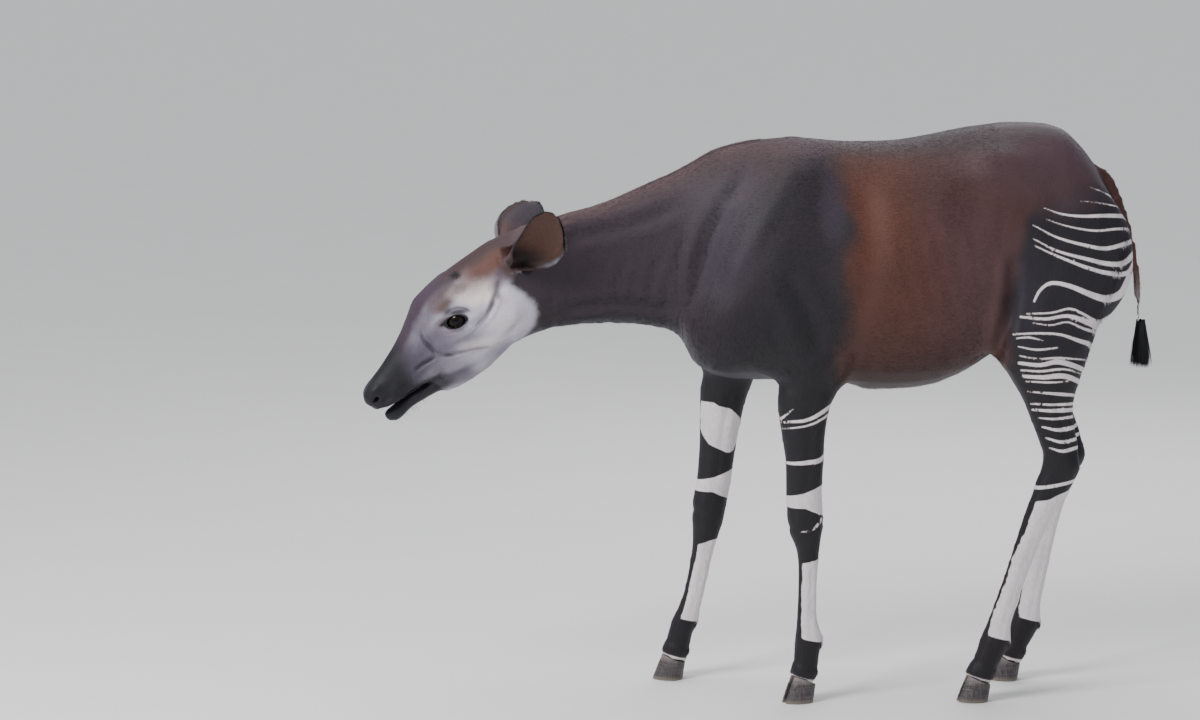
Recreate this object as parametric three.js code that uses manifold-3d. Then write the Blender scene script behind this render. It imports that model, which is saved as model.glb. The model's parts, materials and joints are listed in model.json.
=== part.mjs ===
// Life-size standing okapi, head lowered, in millimetres.
// The animal faces -X, its left side is at -Y and +Z is up; the floor is Z = 0.

import * as THREE from 'three';
import { mergeVertices } from 'three/addons/utils/BufferGeometryUtils.js';
import Module from 'manifold-3d';

const wasm = await Module();
wasm.setup();
const { Manifold, Mesh: SolidMesh } = wasm;

// Overall sizes
const GAP = 0.3;
// Middle of the footprint box; the finished model is moved so that it lies at the origin
const BOX_CENTRE = { x: 8, y: -12 };
const LEFT = -1;
const RIGHT = 1;

// Outline of neck and back seen from the side: [x, height]
const TOP_LINE = [
  [-700, 1236], [-610, 1276], [-515, 1312], [-396, 1347], [-299, 1388], [-202, 1429],
  [-116, 1481], [-8, 1506], [97, 1513], [270, 1500], [367, 1503], [464, 1519],
  [558, 1538], [700, 1553], [800, 1547], [849, 1511], [895, 1458], [925, 1395],
  [950, 1330], [972, 1262], [986, 1190],
];
// Throat, breast and belly: [x, height]
const UNDER_LINE = [
  [-700, 1010], [-587, 1004], [-404, 1012], [-272, 999], [-205, 980], [-180, 936],
  [-150, 884], [-60, 858], [100, 852], [226, 850], [300, 832], [367, 832],
  [464, 842], [539, 868], [606, 906], [655, 950], [760, 985], [850, 1030],
  [930, 1085], [986, 1160],
];
// Half of the width across neck and body: [x, half width]
const WIDTH_LINE = [
  [-700, 64], [-600, 65], [-515, 69], [-396, 77], [-299, 89], [-202, 108], [-116, 138],
  [-8, 172], [97, 196], [270, 228], [367, 246], [464, 252], [558, 240],
  [655, 214], [760, 196], [850, 168], [930, 116], [986, 40],
];
// Squareness of the section above its widest level: [x, exponent]
const CROWN_LINE = [[-700, 2.1], [-200, 2], [0, 1.88], [200, 1.95], [450, 2.1], [760, 2.25], [986, 2]];
const KEEL_LINE = [[-700, 2.1], [-200, 2], [0, 2], [300, 2.2], [600, 2.1], [986, 2]];
const WIDEST_SHARE = 0.46;

// The neck bends a little to the animal's left: [x, sideways]
const BEND_LINE = [[-700, -84], [-600, -76], [-450, -44], [-300, -16], [-160, 0], [986, 0]];

// Cut between neck and body, and between head and neck
const NECK_CUT = { x: -160, z: 1228, lean: 0.1715 };
const HEAD_CUT = { x: -584, z: 1150, lean: 0.03 };

// Cuts that part the legs from the body
const FORE_CUT_Z = 846;
const HIND_CUT_Z = 915;

// Head: origin at the poll, pitched down, rolled a little so that the crown faces left
const HEAD_ORIGIN = { x: -631, y: -78, z: 1233 };
const HEAD_PITCH = 45;
const HEAD_ROLL = 6;
const HEAD_YAW = 3;

// Head outlines along its axis: [distance from the poll, height above the axis]
const HEAD_TOP = [
  [-60, -6], [0, 38], [54, 64], [109, 75], [178, 87], [259, 97], [296, 96],
  [341, 79], [386, 60], [438, 43], [487, 34], [541, 25], [581, 8],
];
const HEAD_UNDER = [
  [-60, -124], [0, -140], [60, -152], [105, -167], [156, -176], [266, -180], [371, -163],
  [427, -140], [480, -100], [581, -70],
];
const HEAD_WIDTH = [
  [-60, 64], [0, 70], [54, 75], [109, 76], [178, 80], [235, 85], [275, 82], [341, 65],
  [386, 53], [438, 45], [487, 42], [541, 42], [581, 32],
];
const HEAD_WIDEST = [
  [-60, -56], [0, -40], [109, -20], [178, -8], [259, 8], [341, -12], [438, -24], [581, -18],
];
const HEAD_JAW_SQUARENESS = [[-60, 2], [60, 1.9], [200, 1.5], [371, 1.55], [500, 2], [581, 2.2]];
const MUZZLE_ROUNDING = 26;
const NAPE_ROUNDING = 34;

// Line of the mouth: [distance from the poll, height], from its corner to the tip of the upper lip
const LIP_LINE = [[400, -92], [423, -86], [435, -79], [470, -66], [511, -61], [547, -52], [579, -38], [640, -20]];
const MOUTH_CORNER = 423;

// Lower jaw in front of the corner of the mouth
const JAW_TOP = [[MOUTH_CORNER, -90], [470, -75], [511, -70], [545, -64], [572, -62], [580, -70]];
const JAW_UNDER = [[MOUTH_CORNER, -128], [470, -114], [521, -103], [545, -104], [566, -100], [580, -86]];
const JAW_WIDTH = [[MOUTH_CORNER, 41], [450, 34], [480, 28], [521, 25], [545, 27], [568, 24], [580, 14]];

// Eyes
const EYE = { along: 256, side: 65, height: -16, radius: 28 };
const EYE_AXIS = { forward: 0.26, side: 0.94, up: 0.18 };
const EYE_OPENING = { length: 61, height: 34, tilt: 27 };

// Nostrils: long slits that slant down to the tip of the muzzle
const NOSTRIL = { along: 555, side: 37, height: -14, radii: [29, 9, 6.5], slant: -8, splay: -28 };

// Ears
const EAR_BASE = {
  left: { along: 73, side: 62, height: -14 },
  right: { along: 62, side: 62, height: -2 },
};
const EAR_LENGTH = 222;
const EAR_SEAT = 30;
const EAR_SEAT_BOX = { across: 104, through: 80, high: 60, shift: 4 };
const EAR_AXIS = { left: [0.84, -0.5, 0.18], right: [0.72, 0.68, 0.02] };
const EAR_THICKNESS = 5;
const EAR_FLARE = 16;
// How far the broad lobe bows out behind the ear's axis, as a share of the bow line
const EAR_BOW = { left: 1, right: 0.1 };
const EAR_LINES = {
  halfWidth: [[0, 24], [0.12, 40], [0.3, 62], [0.5, 68], [0.7, 59], [0.86, 41], [0.95, 24], [1, 8]],
  depth: [[0, 46], [0.12, 60], [0.3, 68], [0.5, 58], [0.7, 42], [0.86, 25], [1, 6]],
  wrap: [[0, 172], [0.12, 146], [0.3, 112], [0.5, 92], [0.7, 80], [1, 66]],
  bow: [[0, 2], [0.2, 24], [0.45, 33], [0.75, 17], [1, 0]],
};

// Fore limbs, from the shoulder to the coronet: z, x, half depth, half width, sideways
const FORE_LEFT = [
  { z: 1010, x: 92, depth: 104, width: 58, side: 112 },
  { z: 930, x: 128, depth: 92, width: 60, side: 120 },
  { z: 872, x: 135, depth: 78, width: 56, side: 124 },
  { z: 796, x: 126, depth: 72, width: 50, side: 126 },
  { z: 720, x: 127, depth: 60, width: 45, side: 127 },
  { z: 659, x: 131, depth: 53, width: 42, side: 127 },
  { z: 567, x: 130, depth: 50, width: 40, side: 126 },
  { z: 515, x: 134, depth: 49, width: 41, side: 125 },
  { z: 470, x: 137, depth: 46, width: 41, side: 125 },
  { z: 432, x: 141, depth: 35, width: 35, side: 125 },
  { z: 387, x: 143, depth: 28, width: 27, side: 125 },
  { z: 300, x: 141, depth: 26, width: 24, side: 125 },
  { z: 225, x: 140, depth: 28, width: 26, side: 126 },
  { z: 168, x: 146, depth: 38, width: 35, side: 127 },
  { z: 118, x: 138, depth: 33, width: 32, side: 130 },
  { z: 62, x: 128, depth: 38, width: 38, side: 132 },
];
const FORE_RIGHT = [
  { z: 1010, x: -18, depth: 100, width: 58, side: 112 },
  { z: 930, x: -42, depth: 90, width: 60, side: 120 },
  { z: 872, x: -62, depth: 78, width: 56, side: 124 },
  { z: 796, x: -78, depth: 66, width: 50, side: 126 },
  { z: 720, x: -86, depth: 58, width: 45, side: 127 },
  { z: 659, x: -92, depth: 52, width: 42, side: 127 },
  { z: 567, x: -101, depth: 49, width: 40, side: 126 },
  { z: 500, x: -112, depth: 47, width: 41, side: 125 },
  { z: 455, x: -117, depth: 44, width: 41, side: 125 },
  { z: 415, x: -124, depth: 38, width: 36, side: 125 },
  { z: 370, x: -131, depth: 31, width: 29, side: 125 },
  { z: 299, x: -144, depth: 29, width: 25, side: 125 },
  { z: 225, x: -160, depth: 29, width: 26, side: 126 },
  { z: 168, x: -180, depth: 36, width: 35, side: 127 },
  { z: 118, x: -196, depth: 33, width: 32, side: 130 },
  { z: 62, x: -214, depth: 38, width: 38, side: 132 },
];

// Hind limbs, from the hip to the coronet
const HIND_LEFT = [
  { z: 1250, x: 812, depth: 158, width: 78, side: 100 },
  { z: 1100, x: 786, depth: 146, width: 92, side: 112 },
  { z: 1010, x: 774, depth: 128, width: 88, side: 122 },
  { z: 950, x: 768, depth: 116, width: 80, side: 128 },
  { z: 900, x: 772, depth: 97, width: 68, side: 130 },
  { z: 850, x: 777, depth: 78, width: 55, side: 129 },
  { z: 800, x: 783, depth: 63, width: 46, side: 126 },
  { z: 735, x: 800, depth: 54, width: 40, side: 121 },
  { z: 675, x: 818, depth: 50, width: 36, side: 116 },
  { z: 620, x: 812, depth: 51, width: 38, side: 113 },
  { z: 565, x: 786, depth: 42, width: 33, side: 111 },
  { z: 500, x: 755, depth: 36, width: 28, side: 111 },
  { z: 414, x: 726, depth: 32, width: 26, side: 112 },
  { z: 308, x: 690, depth: 30, width: 25, side: 114 },
  { z: 215, x: 660, depth: 32, width: 28, side: 116 },
  { z: 162, x: 648, depth: 41, width: 36, side: 118 },
  { z: 112, x: 626, depth: 35, width: 33, side: 121 },
  { z: 60, x: 601, depth: 40, width: 38, side: 124 },
];
// The right hind leg stands further back: shifts by height
const HIND_RIGHT_SHIFT = [[60, 112], [162, 112], [308, 98], [414, 80], [500, 68], [620, 50], [735, 30], [900, 10], [1010, 0], [1250, 0]];
const HIND_RIGHT = HIND_LEFT.map((station) => ({ ...station, x: station.x + profile(HIND_RIGHT_SHIFT)(station.z) }));

// Hooves: each foot has two claws
const CLAW = { length: 84, width: 37, cleft: 3, flatness: 0.16 };
const FOOT_TURN = { fore_left: 26, fore_right: 6, hind_left: 10, hind_right: 8 };

// Tail and tuft
const TAIL_PATH = [
  [902, 1420], [932, 1408], [962, 1358], [988, 1292], [1007, 1232], [1020, 1170],
  [1028, 1110], [1033, 1040], [1036, 1000],
];
const TAIL_RADIUS = { root: 20, end: 10 };
const TUFT = { length: 118, locks: 12, width: 13, thickness: 5 };

// Colours and finishes
const COAT = { torso: 0x3a1e1a, neck: 0x2e1c1d, legs: 0x231a1c, face: 0xb3a7b0, muzzle: 0x2c262f };

function profile(points) {
  // Smooth curve through the given points that never overshoots them.
  const count = points.length;
  const slopes = [];
  for (let i = 0; i < count - 1; i += 1) {
    slopes.push((points[i + 1][1] - points[i][1]) / (points[i + 1][0] - points[i][0]));
  }
  const tangents = points.map((_, i) => {
    if (i === 0) return slopes[0];
    if (i === count - 1) return slopes[count - 2];
    const before = slopes[i - 1];
    const after = slopes[i];
    return before * after <= 0 ? 0 : (2 * before * after) / (before + after);
  });
  return (x) => {
    if (x <= points[0][0]) return points[0][1];
    if (x >= points[count - 1][0]) return points[count - 1][1];
    let i = 0;
    while (x > points[i + 1][0]) i += 1;
    const span = points[i + 1][0] - points[i][0];
    const t = (x - points[i][0]) / span;
    const t2 = t * t;
    const t3 = t2 * t;
    return points[i][1] * (2 * t3 - 3 * t2 + 1) + points[i + 1][1] * (3 * t2 - 2 * t3)
      + tangents[i] * span * (t3 - 2 * t2 + t) + tangents[i + 1] * span * (t3 - t2);
  };
}

const radians = THREE.MathUtils.degToRad;
const lerp = THREE.MathUtils.lerp;
const clamp = THREE.MathUtils.clamp;
const vec = (x, y, z) => new THREE.Vector3(x, y, z);

// Fields: negative inside the body, roughly a distance in millimetres

function smoothUnion(a, b, blend) {
  const h = Math.max(blend - Math.abs(a - b), 0) / blend;
  return Math.min(a, b) - (h * h * blend) / 4;
}

function ellipsoid(centre, radii, turn = [0, 0, 0]) {
  const inverse = new THREE.Quaternion()
    .setFromEuler(new THREE.Euler(radians(turn[0]), radians(turn[1]), radians(turn[2])))
    .invert();
  const local = new THREE.Vector3();
  return (p) => {
    local.set(p.x - centre[0], p.y - centre[1], p.z - centre[2]).applyQuaternion(inverse);
    const scaled = Math.hypot(local.x / radii[0], local.y / radii[1], local.z / radii[2]);
    const bent = Math.hypot(local.x / radii[0] ** 2, local.y / radii[1] ** 2, local.z / radii[2] ** 2);
    return bent < 1e-9 ? -Math.min(...radii) : (scaled * (scaled - 1)) / bent;
  };
}

function ridge(from, to, radiusFrom, radiusTo) {
  const ax = to[0] - from[0];
  const ay = to[1] - from[1];
  const az = to[2] - from[2];
  const length2 = ax * ax + ay * ay + az * az;
  return (p) => {
    const px = p.x - from[0];
    const py = p.y - from[1];
    const pz = p.z - from[2];
    const t = clamp((px * ax + py * ay + pz * az) / length2, 0, 1);
    return Math.hypot(px - ax * t, py - ay * t, pz - az * t) - lerp(radiusFrom, radiusTo, t);
  };
}

function limb(stations, hand) {
  // Chain of elliptical sections; depth is measured across the chain, width sideways.
  return (p) => {
    let best = Infinity;
    for (let i = 0; i < stations.length - 1; i += 1) {
      const a = stations[i];
      const b = stations[i + 1];
      const ax = b.x - a.x;
      const az = b.z - a.z;
      const length = Math.hypot(ax, az);
      const along = ((p.x - a.x) * ax + (p.z - a.z) * az) / (length * length);
      const t = clamp(along, 0, 1);
      const depth = lerp(a.depth, b.depth, t);
      const width = lerp(a.width, b.width, t);
      const dx = Math.hypot(p.x - a.x - ax * t, p.z - a.z - az * t);
      const dy = p.y - hand * lerp(a.side, b.side, t);
      const ratio = Math.hypot(dx / depth, dy / width);
      best = Math.min(best, (ratio - 1) * Math.min(depth, width));
    }
    return best;
  };
}

function superRatio(side, level, squareness) {
  return (Math.abs(side) ** squareness + Math.abs(level) ** squareness) ** (1 / squareness);
}

const bodyTop = profile(TOP_LINE);
const bodyUnder = profile(UNDER_LINE);
const bodyWidth = profile(WIDTH_LINE);
const bodyCrown = profile(CROWN_LINE);
const bodyKeel = profile(KEEL_LINE);
const bodyBend = profile(BEND_LINE);

function trunk(p) {
  const end = 986;
  const x = Math.min(p.x, end);
  const top = bodyTop(x);
  const under = bodyUnder(x);
  const widest = lerp(under, top, WIDEST_SHARE);
  const half = bodyWidth(x);
  const above = p.z > widest;
  const height = above ? top - widest : widest - under;
  const ratio = superRatio((p.y - bodyBend(x)) / half, (p.z - widest) / height, above ? bodyCrown(x) : bodyKeel(x));
  const reach = Math.min(half, height);
  return (ratio - 1) * reach + Math.max(p.x - end, 0);
}

const headTop = profile(HEAD_TOP);
const headUnder = profile(HEAD_UNDER);
const headWidth = profile(HEAD_WIDTH);
const headWidest = profile(HEAD_WIDEST);
const headJaw = profile(HEAD_JAW_SQUARENESS);
const lipLine = profile(LIP_LINE);

// Place and directions of an ear in the head's own frame: -X to the nose, Z to the forehead
function earFrame(hand) {
  const seat = hand === LEFT ? EAR_BASE.left : EAR_BASE.right;
  const axis = vec(...(hand === LEFT ? EAR_AXIS.left : EAR_AXIS.right)).normalize();
  const open = vec(0.1, hand * 0.95, -0.12);
  open.addScaledVector(axis, -open.dot(axis)).normalize();
  const across = axis.clone().cross(open);
  const base = vec(-seat.along, hand * seat.side, seat.height);
  return { axis, open, across, base };
}

function earMound(hand) {
  const { axis, base } = earFrame(hand);
  const root = base.clone().addScaledVector(axis, -16);
  const crest = base.clone().addScaledVector(axis, EAR_SEAT);
  return ridge(root.toArray(), crest.toArray(), 38, 31);
}

// Head forms in the head's own frame
function faceForms(hand) {
  const side = (value) => hand * value;
  return [
    { field: ellipsoid([-EYE.along, side(60), -16], [50, 31, 42], [0, 20, hand * 12]), blend: 26 },
    { field: ridge([-214, side(52), 58], [-292, side(44), 58], 26, 22), blend: 26 },
    { field: ellipsoid([-150, side(44), -92], [84, 36, 72], [0, 10, 0]), blend: 34 },
    { field: ridge([-196, side(66), -34], [-330, side(40), -44], 18, 16), blend: 30 },
    { field: ellipsoid([-552, side(22), -6], [36, 22, 26]), blend: 18 },
    { field: ellipsoid([-520, side(24), -42], [64, 17, 18], [0, -12, 0]), blend: 16 },
    { field: ellipsoid([-440, side(25), -62], [52, 17, 22], [0, -20, 0]), blend: 22 },
    { field: earMound(hand), blend: 24 },
  ];
}

const FACE_FORMS = [...faceForms(LEFT), ...faceForms(RIGHT)];

function skull(p) {
  const start = -60;
  const end = 560;
  const along = clamp(-p.x, start, end);
  const top = headTop(along);
  const under = headUnder(along);
  const widest = headWidest(along);
  const half = headWidth(along);
  const above = p.z > widest;
  const height = above ? top - widest : widest - under;
  const ratio = superRatio(p.y / half, (p.z - widest) / height, above ? 2.1 : headJaw(along));
  const beyond = Math.max(-p.x - end, 0) / MUZZLE_ROUNDING;
  const behind = Math.max(start + p.x, 0) / NAPE_ROUNDING;
  const whole = Math.hypot(ratio, beyond, behind);
  let value = (whole - 1) * Math.min(half, height);
  for (const form of FACE_FORMS) value = smoothUnion(value, form.field(p), form.blend);
  return value;
}

const headFrame = new THREE.Object3D();
headFrame.position.set(HEAD_ORIGIN.x, HEAD_ORIGIN.y, HEAD_ORIGIN.z);
headFrame.rotation.set(radians(HEAD_ROLL), radians(-HEAD_PITCH), radians(HEAD_YAW), 'YXZ');
headFrame.updateMatrixWorld(true);
const headToWorld = headFrame.matrixWorld.clone();
const worldToHead = headToWorld.clone().invert();

// Muscles and bony points of the trunk, the same on both sides
function trunkForms(hand) {
  const y = (value) => hand * value;
  return [
    { field: ellipsoid([60, y(118), 1190], [118, 66, 250], [0, 14, 0]), blend: 70 },
    { field: ellipsoid([-72, y(92), 1010], [96, 78, 120], [0, 20, 0]), blend: 60 },
    { field: ellipsoid([182, y(128), 930], [70, 52, 74]), blend: 50 },
    { field: ellipsoid([868, y(86), 1196], [130, 82, 168], [0, -14, 0]), blend: 50 },
    { field: ellipsoid([655, y(150), 1410], [90, 46, 60], [0, 24, 0]), blend: 60 },
    { field: ellipsoid([700, y(160), 1000], [70, 50, 110], [0, -14, 0]), blend: 60 },
  ];
}

const LIMBS = {
  fore_left: limb(FORE_LEFT, LEFT),
  fore_right: limb(FORE_RIGHT, RIGHT),
  hind_left: limb(HIND_LEFT, LEFT),
  hind_right: limb(HIND_RIGHT, RIGHT),
};
const TRUNK_FORMS = [...trunkForms(LEFT), ...trunkForms(RIGHT)];
const LIMB_BLEND = 46;

const headPoint = new THREE.Vector3();

function bodyField(p) {
  let value = trunk(p);
  if (p.x > -300) {
    for (const form of TRUNK_FORMS) value = smoothUnion(value, form.field(p), form.blend);
    const side = p.y < 0 ? ['fore_left', 'hind_left'] : ['fore_right', 'hind_right'];
    for (const name of side) value = smoothUnion(value, LIMBS[name](p), LIMB_BLEND);
  }
  if (p.x < -380) {
    headPoint.copy(p).applyMatrix4(worldToHead);
    value = smoothUnion(value, skull(headPoint), 40);
  }
  return value;
}

function headField(p) {
  // The whole animal near the head, in the head's own frame.
  const world = p.clone().applyMatrix4(headToWorld);
  const neck = world.x > -720 ? trunk(world) + Math.max(-640 - world.x, 0) * 1.4 : Infinity;
  const face = skull(p);
  return neck === Infinity ? face : smoothUnion(face, neck, 40);
}

// Surfaces: rings of points found by marching outwards from a spine

function march(origin, direction, field, reach) {
  const point = new THREE.Vector3();
  const at = (distance) => field(point.copy(direction).multiplyScalar(distance).add(origin));
  const step = reach / 60;
  let inside = 0;
  let outside = step;
  while (outside < reach && at(outside) < 0) {
    inside = outside;
    outside += step;
  }
  for (let i = 0; i < 16; i += 1) {
    const middle = (inside + outside) / 2;
    if (at(middle) < 0) inside = middle;
    else outside = middle;
  }
  return point.copy(direction).multiplyScalar((inside + outside) / 2).add(origin).clone();
}

function ringAt({ origin, side, up, forward = null, tilt = 0 }, count, field, reach) {
  const points = [];
  for (let j = 0; j < count; j += 1) {
    const angle = (2 * Math.PI * j) / count;
    const direction = side.clone().multiplyScalar(Math.sin(angle)).addScaledVector(up, Math.cos(angle));
    if (forward) direction.multiplyScalar(Math.cos(tilt)).addScaledVector(forward, Math.sin(tilt));
    points.push(march(origin, direction.normalize(), field, reach));
  }
  return points;
}

function centroid(points) {
  const sum = new THREE.Vector3();
  for (const point of points) sum.add(point);
  return sum.multiplyScalar(1 / points.length);
}

function loftRings(rings, startTip = null, endTip = null) {
  // Closed skin over rings of equal count; each end closes on its middle.
  const count = rings[0].length;
  const vertices = rings.flat();
  const first = vertices.length;
  vertices.push(startTip ?? centroid(rings[0]), endTip ?? centroid(rings[rings.length - 1]));
  const faces = [];
  for (let i = 0; i < rings.length - 1; i += 1) {
    for (let j = 0; j < count; j += 1) {
      const k = (j + 1) % count;
      const a = i * count + j;
      const b = i * count + k;
      const c = (i + 1) * count + k;
      const d = (i + 1) * count + j;
      const even = vertices[a].distanceTo(vertices[c]) < vertices[b].distanceTo(vertices[d]);
      if (even) faces.push(a, b, c, a, c, d);
      else faces.push(a, b, d, b, c, d);
    }
  }
  const last = (rings.length - 1) * count;
  for (let j = 0; j < count; j += 1) {
    const k = (j + 1) % count;
    faces.push(first, k, j);
    faces.push(first + 1, last + j, last + k);
  }
  const geometry = new THREE.BufferGeometry().setFromPoints(vertices);
  geometry.setIndex(faces);
  return facingOut(geometry);
}

function facingOut(geometry) {
  const position = geometry.getAttribute('position');
  const index = geometry.getIndex();
  const [a, b, c] = [vec(0, 0, 0), vec(0, 0, 0), vec(0, 0, 0)];
  let volume = 0;
  for (let i = 0; i < index.count; i += 3) {
    a.fromBufferAttribute(position, index.getX(i));
    b.fromBufferAttribute(position, index.getX(i + 1));
    c.fromBufferAttribute(position, index.getX(i + 2));
    volume += a.dot(b.cross(c));
  }
  if (volume < 0) {
    for (let i = 0; i < index.count; i += 3) {
      const swap = index.getX(i);
      index.setX(i, index.getX(i + 1));
      index.setX(i + 1, swap);
    }
  }
  return geometry;
}

// Joins and cuts

function toSolid(geometry) {
  const clean = geometry.clone();
  for (const name of Object.keys(clean.attributes)) {
    if (name !== 'position') clean.deleteAttribute(name);
  }
  const merged = facingOut(mergeVertices(clean, 1e-4));
  return Manifold.ofMesh(new SolidMesh({
    numProp: 3,
    vertProperties: new Float32Array(merged.getAttribute('position').array),
    triVerts: new Uint32Array(merged.getIndex().array),
  }));
}

function toGeometry(solid) {
  const pieces = solid.decompose();
  const largest = pieces.reduce((best, piece) => (piece.volume() > best.volume() ? piece : best));
  const mesh = largest.getMesh();
  const geometry = new THREE.BufferGeometry();
  geometry.setAttribute('position', new THREE.BufferAttribute(new Float32Array(mesh.vertProperties), 3));
  geometry.setIndex(new THREE.BufferAttribute(new Uint32Array(mesh.triVerts), 1));
  return geometry;
}

const minus = (body, ...tools) => toGeometry(tools.reduce((solid, tool) => solid.subtract(toSolid(tool)), toSolid(body)));
const plus = (body, ...others) => toGeometry(others.reduce((solid, other) => solid.add(toSolid(other)), toSolid(body)));

function block(min, max) {
  const size = max.clone().sub(min);
  const geometry = new THREE.BoxGeometry(size.x, size.y, size.z);
  geometry.translate(min.x + size.x / 2, min.y + size.y / 2, min.z + size.z / 2);
  return geometry;
}

const object = new THREE.Group();
object.name = 'okapi';

function addNode(name, geometry, color, roughness, parent = object) {
  const material = new THREE.MeshStandardMaterial({ color, roughness, metalness: 0 });
  const mesh = new THREE.Mesh(geometry, material);
  mesh.name = name;
  parent.add(mesh);
  return mesh;
}

// Torso
const TORSO_SIDES = 40;
const TORSO_REACH = 760;
const SIDE_AXIS = vec(0, 1, 0);

function leaning(lean) {
  return vec(lean, 0, 1).normalize();
}

function torsoField(p) {
  // Leg stubs end a little below their cuts.
  const value = bodyField(p);
  const nearHind = p.x > 640;
  const nearFore = p.x < 236;
  if (nearHind) return Math.max(value, HIND_CUT_Z - 25 - p.z);
  return nearFore ? Math.max(value, FORE_CUT_Z - 25 - p.z) : value;
}

function buildTorso() {
  const rings = [];
  const spineX = [NECK_CUT.x + GAP / 2, -120, -80, -40, 0, 45, 90, 135, 180, 215, 250, 300, 360, 420, 480, 540, 595, 640, 675, 710, 745];
  const lastX = 780;
  for (const x of spineX) {
    const share = clamp((x - NECK_CUT.x) / 200, 0, 1);
    const up = leaning(lerp(NECK_CUT.lean, 0, share));
    rings.push(ringAt({ origin: vec(x, bodyBend(x), 1225), side: SIDE_AXIS, up }, TORSO_SIDES, torsoField, TORSO_REACH));
  }
  const steps = 12;
  for (let i = 0; i < steps; i += 1) {
    const tilt = radians((90 * i) / steps);
    rings.push(ringAt(
      { origin: vec(lastX, 0, 1225), side: SIDE_AXIS, up: vec(0, 0, 1), forward: vec(1, 0, 0), tilt },
      TORSO_SIDES, torsoField, TORSO_REACH,
    ));
  }
  const tip = march(vec(lastX, 0, 1225), vec(1, 0, 0), torsoField, TORSO_REACH);
  const body = loftRings(rings, null, tip);
  const foreCut = block(vec(-400, -400, 600), vec(226, 400, FORE_CUT_Z));
  const hindCut = block(vec(652, -400, 600), vec(1100, 400, HIND_CUT_Z));
  return minus(body, foreCut, hindCut, tailSeat());
}

// The tail's root stands on a small flat cut into the rump
const TAIL_CURVE = new THREE.CatmullRomCurve3(TAIL_PATH.map(([x, z]) => vec(x, 0, z)), false, 'centripetal');
const TAIL_AXIS = TAIL_CURVE.getTangentAt(0);
const TAIL_END = TAIL_CURVE.getTangentAt(1);

function tailSeat() {
  const seat = new THREE.BoxGeometry(90, 50, 50);
  seat.translate(45, 0, 0);
  const turn = new THREE.Quaternion().setFromUnitVectors(vec(1, 0, 0), TAIL_AXIS);
  seat.applyQuaternion(turn);
  seat.translate(TAIL_PATH[0][0], 0, TAIL_PATH[0][1]);
  return seat;
}

addNode('torso', buildTorso(), COAT.torso, 0.62);

// Neck
function buildNeck() {
  const rings = [];
  const count = 9;
  for (let i = 0; i <= count; i += 1) {
    const share = i / count;
    const x = lerp(HEAD_CUT.x + GAP, NECK_CUT.x - GAP / 2, share);
    const z = lerp(HEAD_CUT.z, NECK_CUT.z, share);
    const up = leaning(lerp(HEAD_CUT.lean, NECK_CUT.lean, share));
    const shift = (z - 1225) * (up.x / up.z) * share;
    rings.push(ringAt({ origin: vec(x + shift, bodyBend(x), z), side: SIDE_AXIS, up }, TORSO_SIDES, bodyField, 500));
  }
  return loftRings(rings);
}

addNode('neck', buildNeck(), COAT.neck, 0.66);

// Legs
const LEG_SIDES = 16;

function legSpine(stations, hand) {
  return new THREE.CatmullRomCurve3(stations.map((s) => vec(s.x, hand * s.side, s.z)), false, 'centripetal');
}

function footFrame(stations, hand, turn) {
  // Place and heading of a foot; the turn is outwards from straight ahead.
  const ankle = stations[stations.length - 1];
  const heading = vec(-1, 0, 0).applyAxisAngle(vec(0, 0, 1), -hand * radians(turn));
  return { at: vec(ankle.x, hand * ankle.side, ankle.z), heading };
}

const CORONET_SLOPE = 0.42;

function coronetZ(foot, p) {
  // The coronet plane falls from the front of the foot to the heel.
  return foot.at.z + CORONET_SLOPE * p.clone().sub(foot.at).dot(foot.heading);
}

function buildLeg(stations, hand, cutZ, turn, ringCount) {
  const spine = legSpine(stations, hand);
  const foot = footFrame(stations, hand, turn);
  const field = (p) => {
    let value = bodyField(p);
    if (p.z < 700) {
      const heel = foot.at.clone().addScaledVector(foot.heading, -20);
      heel.z += 30;
      value = smoothUnion(value, ellipsoid([heel.x, heel.y, heel.z], [26, 30, 34])(p), 20);
    }
    return value;
  };
  let start = 0;
  while (spine.getPoint(start).z > cutZ - GAP) start += 0.0005;
  const rings = [];
  for (let i = 0; i <= ringCount; i += 1) {
    const t = lerp(start, 1, i / ringCount);
    const origin = spine.getPoint(t);
    const along = spine.getTangent(t);
    const topShare = clamp(1 - i / 3, 0, 1);
    const endShare = clamp(1 - (ringCount - i) / 3, 0, 1);
    const normal = along.clone().negate();
    normal.lerp(vec(0, 0, 1), topShare);
    const coronetNormal = vec(0, 0, 1).addScaledVector(foot.heading, -CORONET_SLOPE).normalize();
    normal.lerp(coronetNormal, endShare).normalize();
    const forward = vec(-1, 0, 0).addScaledVector(normal, normal.x).normalize();
    const side = normal.clone().cross(forward).normalize();
    rings.push(ringAt({ origin, side, up: forward }, LEG_SIDES, field, 240));
  }
  return loftRings(rings);
}

const LEGS = [
  { name: 'foreleg_left', stations: FORE_LEFT, hand: LEFT, cut: FORE_CUT_Z, turn: FOOT_TURN.fore_left, rings: 24 },
  { name: 'foreleg_right', stations: FORE_RIGHT, hand: RIGHT, cut: FORE_CUT_Z, turn: FOOT_TURN.fore_right, rings: 24 },
  { name: 'hindleg_left', stations: HIND_LEFT, hand: LEFT, cut: HIND_CUT_Z, turn: FOOT_TURN.hind_left, rings: 26 },
  { name: 'hindleg_right', stations: HIND_RIGHT, hand: RIGHT, cut: HIND_CUT_Z, turn: FOOT_TURN.hind_right, rings: 26 },
];

// Hooves: a claw is a stack of pointed ovals with one flat side towards the cleft
const CLAW_SIDES = 14;
const CLAW_LEVELS = 5;

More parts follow.
